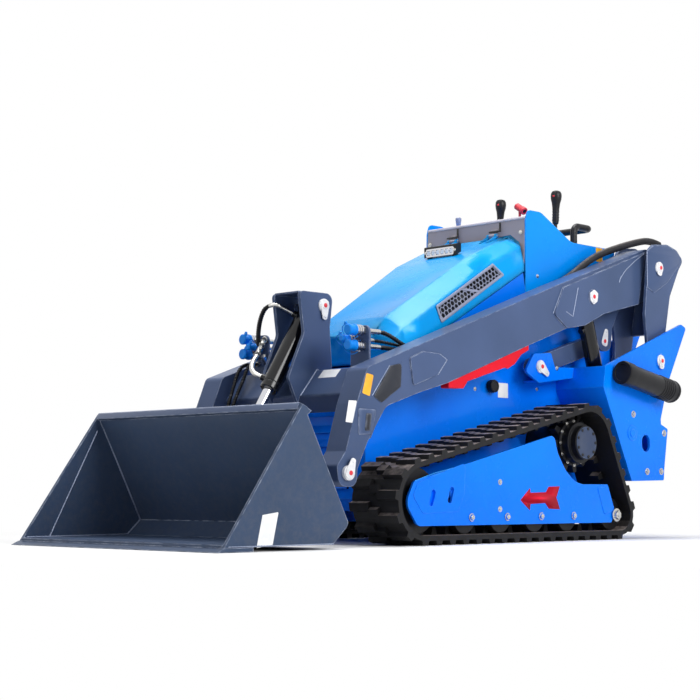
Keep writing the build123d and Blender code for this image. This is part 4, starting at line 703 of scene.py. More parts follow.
@dataclass
class Studio:
    """Camera, lamps, floor and backdrop.

    Attributes:
        place: the camera's place in metres.
        azimuth: its direction, from +Y towards -X, in degrees.
        pitch: its tilt above the horizon in degrees.
        lens: focal length in millimetres on a sensor 36 wide.
    """

    place: Point = (4.5138, -4.7098, 0.193)
    azimuth: float = 45.1813
    pitch: float = 4.8645
    lens: float = 85.137
    ambient: float = 0.30

    def camera(self) -> None:
        """Stand the camera where the photograph was taken from."""
        data = bpy.data.cameras.new("camera")
        data.lens = self.lens
        data.sensor_width = 36.0
        data.clip_end = 100.0
        eye = bpy.data.objects.new("camera", data)
        a, p = math.radians(self.azimuth), math.radians(self.pitch)
        ahead = Vector((-math.sin(a) * math.cos(p), math.cos(a) * math.cos(p), math.sin(p)))
        right = Vector((math.cos(a), math.sin(a), 0.0))
        up = right.cross(ahead)
        eye.matrix_world = Matrix.Translation(self.place) @ Matrix((right, up, -ahead)).transposed().to_4x4()
        bpy.context.scene.collection.objects.link(eye)
        bpy.context.scene.camera = eye

    def world(self) -> None:
        """White for the camera and in reflections, plain soft light for the rest."""
        world = bpy.data.worlds.new("studio")
        bpy.context.scene.world = world
        world.use_nodes = True
        tree = world.node_tree
        soft = tree.nodes["Background"]
        soft.inputs["Color"].default_value = (1, 1, 1, 1)
        soft.inputs["Strength"].default_value = self.ambient
        white = tree.nodes.new("ShaderNodeBackground")
        white.inputs["Color"].default_value = (1, 1, 1, 1)
        rays = tree.nodes.new("ShaderNodeLightPath")
        seen = tree.nodes.new("ShaderNodeMath")
        seen.operation = "MAXIMUM"
        either = tree.nodes.new("ShaderNodeMath")
        either.operation = "MAXIMUM"
        tree.links.new(rays.outputs["Is Camera Ray"], seen.inputs[0])
        tree.links.new(rays.outputs["Is Glossy Ray"], seen.inputs[1])
        tree.links.new(seen.outputs[0], either.inputs[0])
        tree.links.new(rays.outputs["Is Transmission Ray"], either.inputs[1])
        mix = tree.nodes.new("ShaderNodeMixShader")
        tree.links.new(either.outputs[0], mix.inputs[0])
        tree.links.new(soft.outputs[0], mix.inputs[1])
        tree.links.new(white.outputs[0], mix.inputs[2])
        tree.links.new(mix.outputs[0], tree.nodes["World Output"].inputs["Surface"])

    def lamp(self, name: str, place: Point, target: Point, size: float, power: float) -> None:
        """Hang a square soft lamp and turn it to its target."""
        data = bpy.data.lights.new(name, "AREA")
        data.size = size
        data.energy = power
        light = bpy.data.objects.new(name, data)
        way = Vector(target) - Vector(place)
        light.matrix_world = Matrix.Translation(place) @ way.to_track_quat("-Z", "Y").to_matrix().to_4x4()
        bpy.context.scene.collection.objects.link(light)

    def floor(self) -> None:
        """Pale floor that keeps the shadow under the machine and is lost in white further out."""
        bpy.ops.mesh.primitive_circle_add(vertices=96, radius=14.0, fill_type="NGON", location=(0, 0, -0.001))
        floor = bpy.context.view_layer.objects.active
        floor.name = floor.data.name = "floor"
        shader = Shader("floor_white")
        shader.put("Base Color", "#F4F4F4")
        shader.put("Roughness", 0.9)
        shader.put("Specular IOR Level", 0.0)
        white = shader.add("ShaderNodeEmission", {"Color": (1, 1, 1, 1), "Strength": 1.0})
        spot = shader.add("ShaderNodeVectorMath", {0: shader.place}, operation="LENGTH")
        away = shader.ramp(spot.outputs["Value"], 1.1, 2.4)
        rays = shader.add("ShaderNodeLightPath")
        seen = shader.maths("MAXIMUM", rays.outputs["Is Camera Ray"], rays.outputs["Is Glossy Ray"])
        share = shader.maths("MULTIPLY", away, seen)
        mix = shader.add("ShaderNodeMixShader", {0: share, 1: shader.surface.outputs[0], 2: white.outputs[0]})
        shader.tree.links.new(mix.outputs[0], shader.tree.nodes["Material Output"].inputs["Surface"])
        floor.data.materials.append(shader.material)

    def build(self) -> None:
        """Set the whole studio up."""
        self.camera()
        self.world()
        self.floor()
        self.lamp("key", (6.0, 0.3, 3.2), (0.2, 0.0, 0.6), 3.2, 270.0)
        self.lamp("front", (0.6, -5.6, 3.4), (0.0, -0.6, 0.5), 3.0, 45.0)
        self.lamp("top", (-0.4, 0.4, 5.2), (0.0, 0.2, 0.5), 3.0, 240.0)
        bpy.context.scene.view_settings.view_transform = "Standard"


# The machine

# Sizes that several sub-assemblies share, in the machine's millimetres
SIDE_X = 276.0
ARM_OUT_X = 444.0
PATCH_X = 452.0
FRAME_X = 523.0
TOWER_X = 520.0
LINK_X = 486.0
TRACK_X = 429.0
DASH_Z = 1222.0
HOOD_FRONT_TOP = 1124.0

Spot = tuple[Face, float, float, float]


class Bodywork:
    """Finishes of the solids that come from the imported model."""

    def build(self) -> None:
        """Paint every solid and name its slot."""
        for finish, (slot, names) in FINISHES.items():
            for name in names:
                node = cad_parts[name]
                node.data.materials.clear()
                node.data.materials.append(finish.material())
                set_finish(node, slot)


@dataclass
class Hoses:
    """Rubber hoses of the couplers, the sleeve on the left arm and the tilt cylinder's lines.

    Attributes:
        sleeve: centres of the sleeve up the left arm, and its radius.
        coupler: the three hoses from the left bracket into the sleeve.
        tilt: the tilt cylinder's two hoses, first point at the barrel.
        front: the two lines from the right bracket down inside the right arm.
    """

    sleeve: tuple[Point, ...] = (
        (322, -318, 731), (326, -190, 784), (327, 20, 862), (325, 240, 947), (328, 440, 1026), (328, 560, 1082),
        (328, 650, 1138), (333, 735, 1186), (352, 850, 1228), (371, 962, 1262), (388, 1050, 1281), (392, 1112, 1266))
    sleeve_r: float = 15.0
    coupler: tuple[tuple[float, tuple[Point, ...]], ...] = (
        (7.0, ((290, -540, 778), (290, -506, 778), (314.3, -417.6, 726.2), (328, -355.6, 711.6),
               (329.2, -316.8, 727.7))),
        (7.0, ((290, -540, 721), (290, -506, 721), (304.9, -417.2, 713.6), (313.6, -355.2, 711.6),
               (314.9, -316.4, 727.7))),
        (5.0, ((258, -540, 748), (258, -506, 748), (298.3, -422, 730.6), (320.7, -360, 722.7),
               (321.9, -321.2, 738.8))))
    tilt: tuple[tuple[float, tuple[Point, ...]], ...] = (
        (7.5, ((-23, -686.7, 861.3), (-39, -710.1, 876.2), (-50, -750, 893), (-92, -764, 884), (-132, -752, 846),
               (-172, -727, 806), (-206, -698, 766), (-224, -676, 739), (-231, -664, 727))),
        (8.5, ((-35.2, -832.9, 614), (-59.8, -850.2, 625.1), (-88, -838, 656), (-114, -786, 700),
               (-150, -736, 730), (-182, -698, 752), (-206, -674, 766), (-216, -664, 771))))
    front: tuple[tuple[Point, ...], ...] = (
        ((-302, -646, 684), (-302, -676, 682), (-300, -708, 664), (-294, -732, 628), (-290, -752, 580),
         (-290, -774, 522), (-290, -792, 472), (-293, -806, 430), (-306, -812, 402), (-324, -812, 394)),
        ((-272, -646, 684), (-270, -676, 682), (-264, -704, 660), (-260, -724, 618), (-260, -748, 576),
         (-258, -772, 528), (-258, -796, 480), (-268, -816, 440), (-292, -830, 404), (-324, -834, 388)))
    front_r: float = 6.0
    guard_pitch: float = 11.0
    guard_wire: float = 1.9

    def coil(self, line: Sequence[Vector], radius: float, name: str, start: float = 0.0,
             end: float = 1.0) -> bpy.types.Object:
        """Spiral guard wound on a hose, following its middle line.

        Args:
            line: points of the hose's middle.
            radius: radius that the wire is wound on, in millimetres.
            name: the piece's name.
            start: share of the length where it starts.
            end: share of the length where it ends.

        Returns:
            The guard as a mesh.
        """
        lengths = [0.0]
        for a, b in zip(line, line[1:]):
            lengths.append(lengths[-1] + (b - a).length)
        side = (line[1] - line[0]).orthogonal().normalized()
        sides = []
        for i in range(len(line)):
            ahead = (line[min(i + 1, len(line) - 1)] - line[max(i - 1, 0)]).normalized()
            side = (side - ahead * side.dot(ahead)).normalized()
            sides.append((side.copy(), ahead.cross(side)))
        low, high = lengths[-1] * start, lengths[-1] * end
        per_turn = 8
        count = int((high - low) * 1000 / self.guard_pitch * per_turn)
        curve = bpy.data.curves.new(name, "CURVE")
        curve.dimensions = "3D"
        spline = curve.splines.new("POLY")
        spline.points.add(count)
        i = 0
        for k in range(count + 1):
            travel = low + (high - low) * k / count
            while i < len(line) - 2 and lengths[i + 1] < travel:
                i += 1
            share = (travel - lengths[i]) / max(lengths[i + 1] - lengths[i], 1e-9)
            middle = line[i].lerp(line[i + 1], share)
            angle = math.tau * k / per_turn
            spoke = sides[i][0] * math.cos(angle) + sides[i][1] * math.sin(angle)
            spline.points[k].co = (*(middle + spoke * (radius + 0.35 * self.guard_wire) / 1000), 1.0)
        curve.bevel_depth = self.guard_wire / 1000
        curve.bevel_resolution = 0
        curve.use_fill_caps = True
        wire = bpy.data.objects.new(name, curve)
        bpy.context.scene.collection.objects.link(wire)
        pick(wire)
        bpy.ops.object.convert(target="MESH")
        return bpy.context.view_layer.objects.active

    def cord(self, name: str, points: Sequence[Point], radius: float, body: str, replaced: str,
             finish: Finish = HOSE_RUBBER, guard: Optional[Finish] = None) -> bpy.types.Object:
        """Lay one declared hose, with a guard wound round it where it has one."""
        tube = hose(name, points, radius)
        tube.data.materials.append(finish.material())
        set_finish(tube, SLOTS[finish])
        line = run_of(tube)
        if guard is not None:
            wire = settle(self.coil(line, radius, name + "_guard", 0.04, 0.97), name + "_guard", guard, 60.0)
            mounted(wire, body)
        return mounted(tube, body, replaced)

    def bridge(self, name: str, points: Sequence[Point], radius: float, share: float, guard: Finish) -> None:
        """Hose between the tilt cylinder and the arm, baked in place and hung on no body.

        Args:
            name: the piece's name.
            points: its route, from the cylinder.
            radius: its radius in millimetres.
            share: how far along the chrome tube reaches, from 0 to 1.
            guard: finish of the wire wound on the rest.
        """
        tube = hose(name, points, radius)
        line = run_of(tube)
        pick(tube)
        bpy.ops.object.convert(target="MESH")
        tube = settle(bpy.context.view_layer.objects.active, name, HOSE_RUBBER, 60.0)
        wire = settle(self.coil(line, radius, name + "_guard", share + 0.03, 0.96), name + "_guard", guard, 60.0)
        metal = [line[i] for i in range(int(len(line) * share) + 1)]
        sheath = settle(tube_along([p.copy() for p in metal], radius + 0.8), name + "_chrome", ZINC, 60.0)
        for piece in (tube, wire, sheath):
            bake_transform(piece)
            log.info("%s bends between the tilt cylinder and the arm", piece.name)
        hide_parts("tilt_hoses")

    def build(self) -> None:
        """Lay all the hoses."""
        self.cord("sleeve", self.sleeve, self.sleeve_r, "lift_arm", "hose_sleeve", SLEEVE_CLOTH)
        for i, (radius, points) in enumerate(self.coupler):
            self.cord(f"coupler_hose_{i + 1}", points, radius, "lift_arm", "coupler_hoses", guard=GUARD_PLASTIC)
        for i, points in enumerate(self.front):
            self.cord(f"front_line_{i + 1}", points, self.front_r, "lift_arm", "front_lines", guard=GUARD_PLASTIC)
        (upper_r, upper), (lower_r, lower) = self.tilt
        self.bridge("tilt_hose_upper", upper, upper_r, 0.30, GUARD_PLASTIC)
        self.bridge("tilt_hose_lower", lower, lower_r, 0.42, ZINC)


@dataclass
class Grilles:
    """Vents in the hood's sides: a flanged frame, a honeycomb in two fields and a black sheet behind as painted shade
    in the holes.

    Attributes:
        outline: corners of the opening along the crease and up the side.
        origin: zero of those corners.
        cell: radius of a honeycomb cell.
        web: wall between two cells.
    """

    outline: tuple[tuple[float, float], ...] = ((-208, 6), (216, 16), (194, 70), (-192, 62))
    origin: Point = (282.0, 0.0, 941.1)
    along: Point = (0.0, 0.8751, 0.4839)
    up: Point = (-0.2293, -0.4710, 0.8517)
    out: Point = (0.9733, -0.1110, 0.2007)
    cell: float = 10.5
    web: float = 3.6
    rim: float = 6.0
    lip: float = 3.0

    @staticmethod
    def clipped(shape: Sequence[Corner], fence: Sequence[Corner]) -> list[Corner]:
        """The part of a convex shape that lies inside a convex fence."""
        kept = [Vector(c) for c in shape]
        for a, b in zip(fence, [*fence[1:], fence[0]]):
            start, way = Vector(a), Vector(b) - Vector(a)
            depth = [way.cross(p - start) / way.length for p in kept]
            cut = []
            for i, point in enumerate(kept):
                if depth[i - 1] * depth[i] < 0:
                    cut.append(kept[i - 1].lerp(point, depth[i - 1] / (depth[i - 1] - depth[i])))
                if depth[i] >= 0:
                    cut.append(point)
            kept = cut
        return [(p.x, p.y) for p in kept]

    def cells(self) -> list[list[Corner]]:
        """Outlines of the honeycomb's holes in two fields, either side of a slanted divider."""
        pitch = 2 * self.cell * math.cos(math.radians(30)) + self.web
        row = pitch * math.sin(math.radians(60))
        low_left, low_right, high_right, high_left = grown(self.outline, -self.lip - 2.5)
        lean = 38.0
        fields = []
        for corners in (((low_left), (30 + lean / 2 - 9, 0), (-10 - lean / 2, 0), (high_left)),
                        ((30 + lean / 2 + 9, 0), (low_right), (high_right), (-10 - lean / 2 + 18, 0))):
            field = []
            for i, (u, v) in enumerate(corners):
                edge = (low_left, low_right) if i < 2 else (high_left, high_right)
                share = (u - edge[0][0]) / (edge[1][0] - edge[0][0])
                field.append((u, edge[0][1] + share * (edge[1][1] - edge[0][1])))
            fields.append(field)
        holes = []
        for j in range(1, 4):
            for i in range(-12, 13):
                u, v = i * pitch + (j % 2) * pitch / 2, 38.4 + (j - 2) * row
                shape = [(u + self.cell * math.cos(math.radians(60 * k + 30)),
                          v + self.cell * math.sin(math.radians(60 * k + 30))) for k in range(6)]
                for field in fields:
                    part = self.clipped(shape, field)
                    if len(part) > 2 and max(p[0] for p in part) - min(p[0] for p in part) > 5:
                        holes.append(part)
        return holes

    def place(self, height: float) -> Matrix:
        """Turn and place of the vent's plane, `height` millimetres out of it."""
        turn = Matrix((self.along, self.up, self.out)).transposed().to_4x4()
        return Matrix.Translation(at(*self.origin)) @ turn @ Matrix.Translation((0, 0, height / 1000))

    def build(self) -> None:
        """Make the left vent and mirror it."""
        frame_edge = [(*c, 5.0) for c in grown(self.outline, self.rim)]
        bezel = cut_plate(frame_edge, 3.5, 0.8, self.place(0.3), [grown(self.outline, -self.lip)])
        bezel = settle(bezel, "vent_bezel_left", RIM_GREY)
        comb = cut_plate(grown(self.outline, -0.6), 4.2, 0.25, self.place(-3.9), self.cells())
        comb = settle(comb, "vent_comb_left", RIM_GREY)
        # Black sheet behind the honeycomb: painted shade inside the vent's holes
        shade_sheet = settle(cut_plate(grown(self.outline, -0.8), 0.8, 0.2, self.place(-6.4)), "vent_screen_left",
                        SATIN_BLACK)
        for piece in (bezel, comb, shade_sheet):
            mounted(piece, "hood", "hood_grilles")
            mounted(mirrored(piece, piece.name.replace("left", "right")), "hood", "hood_grilles")


@dataclass
class WorkLight:
    """Lenses, reflectors and screws of the lamp bar on the hood."""

    face_y: float = 118.0
    middle_z: float = 1174.0
    pitch: float = 25.0
    lens_r: float = 10.6
    screw_x: float = 81.0

    def build(self) -> None:
        """Set six faceted lenses in their bezel."""
        lamps = []
        for k in range(6):
            place = spot(Face.FRONT, (k - 2.5) * self.pitch, self.face_y + 3, self.middle_z)
            lamps.append(dome(self.lens_r, 5.0, place, 6, 2.2))
        lenses = settle(fuse(lamps, "lenses"), "work_light_lenses", LENS, 20.0)
        mounted(lenses, "hood")
        holes = [[(u + 11.4 * math.cos(math.radians(60 * k)), 11.4 * math.sin(math.radians(60 * k)))
                  for k in range(6)] for u in ((k - 2.5) * self.pitch for k in range(6))]
        bezel = cut_plate([(-76, -17, 6), (76, -17, 6), (76, 17, 6), (-76, 17, 6)], 2.0, 0.4,
                          spot(Face.FRONT, 0, self.face_y, self.middle_z), holes)
        mounted(settle(bezel, "work_light_bezel", CHROME), "hood")
        Fasteners.add("work_light_screws", "hood", 4.0,
                      [(Face.FRONT, s * self.screw_x, self.face_y, self.middle_z + 2) for s in (-1, 1)])


class Fasteners:
    """Hexagon bolts on their washers, one piece for each group."""

    @staticmethod
    def head(radius: float) -> bpy.types.Object:
        """One bolt head with its washer, standing on the origin."""
        washer = dome(radius * 1.6, radius * 0.25, Matrix.Identity(4), 20, radius * 0.08)
        nut = dome(radius * 1.1, radius * 0.85, Matrix.Identity(4), 6, radius * 0.2)
        stud = dome(radius * 0.5, radius * 1.05, Matrix.Identity(4), 12, radius * 0.15)
        pick(washer, nut, stud)
        bpy.ops.object.transform_apply(location=True, rotation=True, scale=True)
        return fuse((washer, nut, stud), "bolt")

    @classmethod
    def add(cls, name: str, body: str, radius: float, spots: Sequence[Spot], finish: Finish = ZINC,
            both: bool = False) -> None:
        """Bolt a group of heads on.

        Args:
            name: the piece's name, to which the side is added where it is on both.
            body: the body that carries it.
            radius: half the width of a head over its corners.
            spots: face and place of each head.
            finish: its finish.
            both: whether the other side has the same.
        """
        heads = copies(cls.head(radius), [spot(*place) @ Matrix.Rotation(0.7 * i, 4, "Z")
                                          for i, place in enumerate(spots)])
        group = settle(fuse(heads, name), name + ("_left" if both else ""), finish)
        mounted(group, body)
        if both:
            mounted(mirrored(group, name + "_right"), body)

    def build(self) -> None:
        """Place all the groups."""
        side, front = Face.SIDE, Face.FRONT
        self.add("roller_bolts", "chassis", 9.5, [(side, FRAME_X + 2, y, 96) for y in (-297, -93, 110, 313)],
                 both=True)
        self.add("rear_wheel_bolt", "chassis", 17.0, [(side, FRAME_X + 4, 588, 96)], both=True)
        self.add("frame_bolts", "chassis", 7.0, [(side, FRAME_X, -133, 226), (side, FRAME_X, -134, 125)], both=True)
        self.add("tower_bolts", "chassis", 9.0, [(side, TOWER_X, y, z) for y, z in
                                                 ((725, 508), (942, 435), (817, 273), (917, 274))], both=True)
        self.add("panel_bolts", "chassis", 5.0, [(side, SIDE_X, y, z) for y, z in
                                                 ((13, 639), (13, 592), (400, 608), (410, 1075), (-520, 520),
                                                  (-540, 200))], both=True)
        self.add("bracket_bolts", "chassis", 6.0, [(side, 358, 428, 690)], both=True)
        self.add("console_bolts", "chassis", 6.0, [(front, x, 333, 1252) for x in (-251, 252)])
        ring = [(side, TRACK_X + 29, 406 + 87 * math.cos(a), 384 + 87 * math.sin(a))
                for a in (math.tau * k / 12 for k in range(12))]
        self.add("sprocket_bolts", "chassis", 5.0, ring, both=True)
        self.add("rear_panel_bolts", "chassis", 6.0, [(Face.REAR, x, 872, z) for x in (-240, 240)
                                                      for z in (300, 470, 620)])


@dataclass
class Keepers:
    """White keeper plates on the linkage's pins, each with a raised boss, a red cap and its own screw."""

    boss_r: float = 15.0
    cap_r: float = 8.5

    def keeper(self, name: str, body: str, centre: tuple[float, float], x: float, seat: float, point: float,
               corners: Sequence[Corner], thick: float = 4.0) -> None:
        """One keeper on each side of the machine.

        Args:
            name: its name without the side.
            body: the body that carries it.
            centre: (y, z) of the pin.
            x: distance of the plate's inner face from the middle of the machine.
            seat: distance of the face that it is fixed to.
            point: turn of the plate's tip, in degrees from straight down towards the rear.
            corners: outline about the pin with its tip down.
            thick: its thickness.
        """
        y, z = centre
        turn = Matrix.Rotation(math.radians(point), 4, "Z")
        place = spot(Face.SIDE, x, y, z) @ turn
        plate = cut_plate(corners, thick, 0.7, place)
        tip = min(c[1] for c in corners) + 12
        parts = [plate, dome(5.0, 3.0, place @ Matrix.Translation((0, tip / 1000, thick / 1000)), 6, 0.6)]
        if x - seat > 0.5:
            parts.append(dome(26.0, x - seat, spot(Face.SIDE, seat, y, z), 32, 0.5))
        if thick > 3:
            parts.append(dome(self.boss_r, 2.0, place @ Matrix.Translation((0, 0, thick / 1000)), 28, 0.5))
        white = settle(fuse([flat(p) for p in parts], name), name + "_left", KEEPER_WHITE)
        lift = thick + (2.0 if thick > 3 else 0.0)
        cap = settle(dome(self.cap_r, 1.8, place @ Matrix.Translation((0, 0, lift / 1000)), 20, 0.8),
                     name + "_cap_left", RED_PLASTIC)
        for piece in (white, cap):
            mounted(piece, body)
            mounted(mirrored(piece, piece.name.replace("_left", "_right")), body)

    def build(self) -> None:
        """Fit all the keepers."""
        drop = [(-21, 21, 20), (21, 21, 20), (20, -8, 16), (10, -54, 9), (-10, -54, 9), (-20, -8, 16)]
        five = [(-24, 14, 8), (4, 30, 8), (30, 16, 8), (24, -18, 8), (0, -32, 8), (-22, -16, 8)]
        slim = [(-16, 22, 14), (16, 22, 14), (16, -34, 12), (-16, -34, 12)]
        self.keeper("tilt_pin_keeper", "lift_arm", (-623, 887), 84.2, 78.0, 0, drop)
        self.keeper("bucket_pin_keeper", "lift_arm", (-859, 255), 456.3, 444.0, 160, drop)
        self.keeper("link_foot_keeper", "chassis", (320, 692), 364.3, 358.0, 52, drop)
        self.keeper("cylinder_head_keeper", "lift_arm", (548, 986), 456.2, 456.0, 0, five)
        self.keeper("link_head_keeper", "rear_links", (970, 1142), 494.2, 486.0, -12, slim)
        self.keeper("link_base_keeper", "chassis", (923, 739), 526.2, 523.0, 0, slim)
        self.keeper("control_head_keeper", "lift_arm", (758, 823), 356.1, 356.0, 165, drop, 1.8)


@dataclass
class CouplerCaps:
    """Blue dust caps over the couplers' nipples, each on its tether."""

    stations: tuple[tuple[float, float, float], ...] = ((290, 778, 19), (290, 721, 19), (258, 748, 12))
    nipple_y: float = -668.0

    def build(self) -> None:
        """Cap both brackets' couplers."""
        caps = []
        for x, z, r in self.stations:
            place = spot(Face.FRONT, x, self.nipple_y, z)
            profile = [(0, 0), (r, 0), (r + 2.5, 2), (r + 2.5, 8), (r, 10), (r - 1, 28), (r + 1.5, 30),
                       (r + 1.5, 36), (r - 3, 40), (0, 40)]
            caps.append(flat(turned(profile, place, 28)))
            ear = cut_plate([(-7, r, 4), (-7, r + 16, 7), (7, r + 16, 7), (7, r, 4)], 4, 0.8,
                            place @ Matrix.Rotation(math.radians(35), 4, "Z") @ Matrix.Translation((0, 0, 0.03)))
            caps.append(flat(ear))
            tether = [(x - 12, self.nipple_y - 32, z + r + 6), (x - 34, self.nipple_y - 34, z + r - 4),
                      (x - 46, self.nipple_y - 16, z - 12), (x - 30, self.nipple_y + 6, z - r - 14),
                      (x - 8, self.nipple_y + 20, z - r - 6), (x - 4, self.nipple_y + 24, z - r + 2)]
            caps.append(wire(tether, 1.6))
        group = settle(fuse(caps, "caps"), "coupler_caps_left", BLUE_PLASTIC)
        mounted(group, "lift_arm")
        mounted(mirrored(group, "coupler_caps_right"), "lift_arm")
        rings = []
        for x, z, r in self.stations:
            for dy, grow in ((6, 1.5), (18, 1.0), (30, 1.5)):
                rings.append(flat(turned([(r - 3, 0), (r + grow, 0.6), (r + grow, 5.4), (r - 3, 6)],
                                         spot(Face.FRONT, x, -634 - dy, z), 28)))
        collars = settle(fuse(rings, "rings"), "coupler_collars_left", CHROME)
        mounted(collars, "lift_arm")
        mounted(mirrored(collars, "coupler_collars_right"), "lift_arm")


@dataclass
class Controls:
    """Joysticks with their boots, the red stop lever and the throttle, in place of the plain ones."""

    stick_x: float = 155.0
    stick_y: float = 682.0
    lean: float = 2.6

    def stick(self, name: str, x: float) -> None:
        """One joystick: ribbed boot, shank, waisted grip and its thumb button."""
        base = spot(Face.TOP, x, self.stick_y, DASH_Z)
        boot = [(0, 0), (34, 0), (34, 4), (29, 9), (31, 14), (25, 19), (27, 24), (20, 30), (22, 34), (14, 40),
                (10, 46), (0, 46)]
        tilted = base @ Matrix.Rotation(math.radians(self.lean), 4, "Y")
        grip = [(0, 40), (8, 40), (8, 112), (13, 117), (14.5, 130), (14, 160), (15.5, 184), (18, 204), (22.5, 220),
                (24, 234), (23, 246), (18, 255), (8, 259), (0, 259)]
        parts = [flat(turned(boot, base, 32)), flat(turned(grip, tilted, 32))]
        for k in range(4):
            parts.append(flat(turned([(13, 0), (15.6, 1.5), (15.6, 4.5), (13, 6)],
                                     tilted @ Matrix.Translation((0, 0, (128 + 12 * k) / 1000)), 28)))
        mounted(settle(fuse(parts, name), name, BLACK_PLASTIC), "chassis", "levers")
        button = dome(4.2, 3.0, tilted @ Matrix.Translation((0.004, -0.0222, 0.233)) @ Matrix.Rotation(
            math.radians(90), 4, "X"), 16, 1.0)
        mounted(settle(button, name + "_button", RED_PLASTIC), "chassis")

    def build(self) -> None:
        """Stand the levers on the dash."""
        self.stick("joystick_left", self.stick_x)
        self.stick("joystick_right", -self.stick_x)
        bar = Matrix.Translation(at(-36, 660, DASH_Z + 214)) @ aim(Vector((0.84, -0.16, -0.5)))
        grip = flat(turned([(0, 0), (12, 0), (15, 3), (15, 40), (17, 44), (17, 60), (15, 62), (9, 62), (9, 58),
                            (0, 58)], bar, 28))
        stem = flat(turned([(0, 0), (6, 0), (6, 196), (0, 196)], spot(Face.TOP, -10, 650, DASH_Z), 16))
        mounted(settle(fuse((grip, stem), "stop"), "stop_lever", RED_PLASTIC), "chassis", "levers")
        plug = dome(8.6, 1.5, bar @ Matrix.Translation((0, 0, 0.058)), 20, 0.4)
        mounted(settle(plug, "stop_lever_plug", BLACK_PLASTIC), "chassis")
        foot = 1270.0
        rod = flat(turned([(0, 0), (5, 0), (5, 62), (9, 70), (13, 96), (13, 104), (10, 108), (0, 109)],
                          spot(Face.TOP, -190, 450, foot), 24))
        mounted(settle(rod, "throttle", RIM_GREY), "chassis", "levers")


@dataclass
class ConsoleTrim:
    """Folded rim of the grey plate, the two angle hinges, the tube's end and the padded bar's collars."""

    plate_y: float = 331.0

    def build(self) -> None:
        """Make the trim."""
        # Pale grey on the upward fold of the same grey plate: painted highlight
        rim = bar((538, 16, 12), spot(Face.TOP, 0, 346, 1313) @ Matrix.Rotation(math.radians(-15), 4, "X"), 4.0)
        mounted(settle(rim, "console_rim", PALE_GREY_HIGHLIGHT), "chassis")
        angle = [(-62, 0, 1), (0, 0, 3), (0, 40, 1), (-6, 40, 1), (-6, 7, 2), (-62, 7, 1)]
        hinges = [cut_plate(angle, 7, 0.8, spot(Face.FRONT, x, self.plate_y, z)) for x, z in ((-84, 1264), (150, 1264))]
        mounted(settle(fuse([flat(h) for h in hinges], "angles"), "console_angles", GLOSS_BLACK), "chassis")
        a, b = at(570, 585, 671), at(570, 933, 606)
        axis = (b - a).normalized()
        end = Matrix.Translation(a) @ aim(-axis)
        cap = flat(turned([(0, -6), (30, -6), (33, -3), (35, 3.5), (45, 3.5), (48.5, 1), (49.4, -3), (49.4, -40),
                           (47.5, -42), (0, -42)], end, 48))
        ribs = [flat(turned([(46, 0), (48.3, 1), (48.3, 5), (46, 6)], Matrix.Translation(a.lerp(b, share)) @
                            aim(axis), 48)) for share in (0.68, 0.72, 0.76, 0.80, 0.84, 0.88, 0.965)]
        latch = bar((9, 30, 16), Matrix.Translation(at(611, 622, 664)) @ Matrix.Rotation(
            math.radians(-10.6), 4, "X"), 2.5)
        mounted(settle(fuse([cap, *ribs, flat(latch)], "tube"), "document_tube_cap", BLACK_PLASTIC), "chassis")
        collars = [flat(turned([(14.5, 0), (19, 2), (19, 12), (14.5, 14)], spot(Face.TOP, s * 205, 750, DASH_Z + 0.5),
                               28)) for s in (-1, 1)]
        mounted(settle(fuse(collars, "collars"), "grab_bar_collars", BLACK_PLASTIC), "chassis")
        for side in (1, -1):
            cover = turned([(0, 0), (62, 0), (64, 1), (64, 2.2), (40, 2.6), (36, 1.4), (0, 1.4)],
                           Matrix.Translation(at(side * (FRAME_X - 4), 406, 384)) @ aim(Vector((side, 0, 0))), 48)
            name = "hub_cover_" + ("left" if side > 0 else "right")
            mounted(settle(flat(cover), name, HUB_SLATE), "chassis")
        cap = turned([(0, 0), (22, 0), (24, 2), (24, 5), (19, 6), (17, 4), (0, 4)],
                     spot(Face.SIDE, SIDE_X + 24, 102, 606), 32)
        mounted(settle(flat(cap), "filler_lid", BLACK_PLASTIC), "chassis")


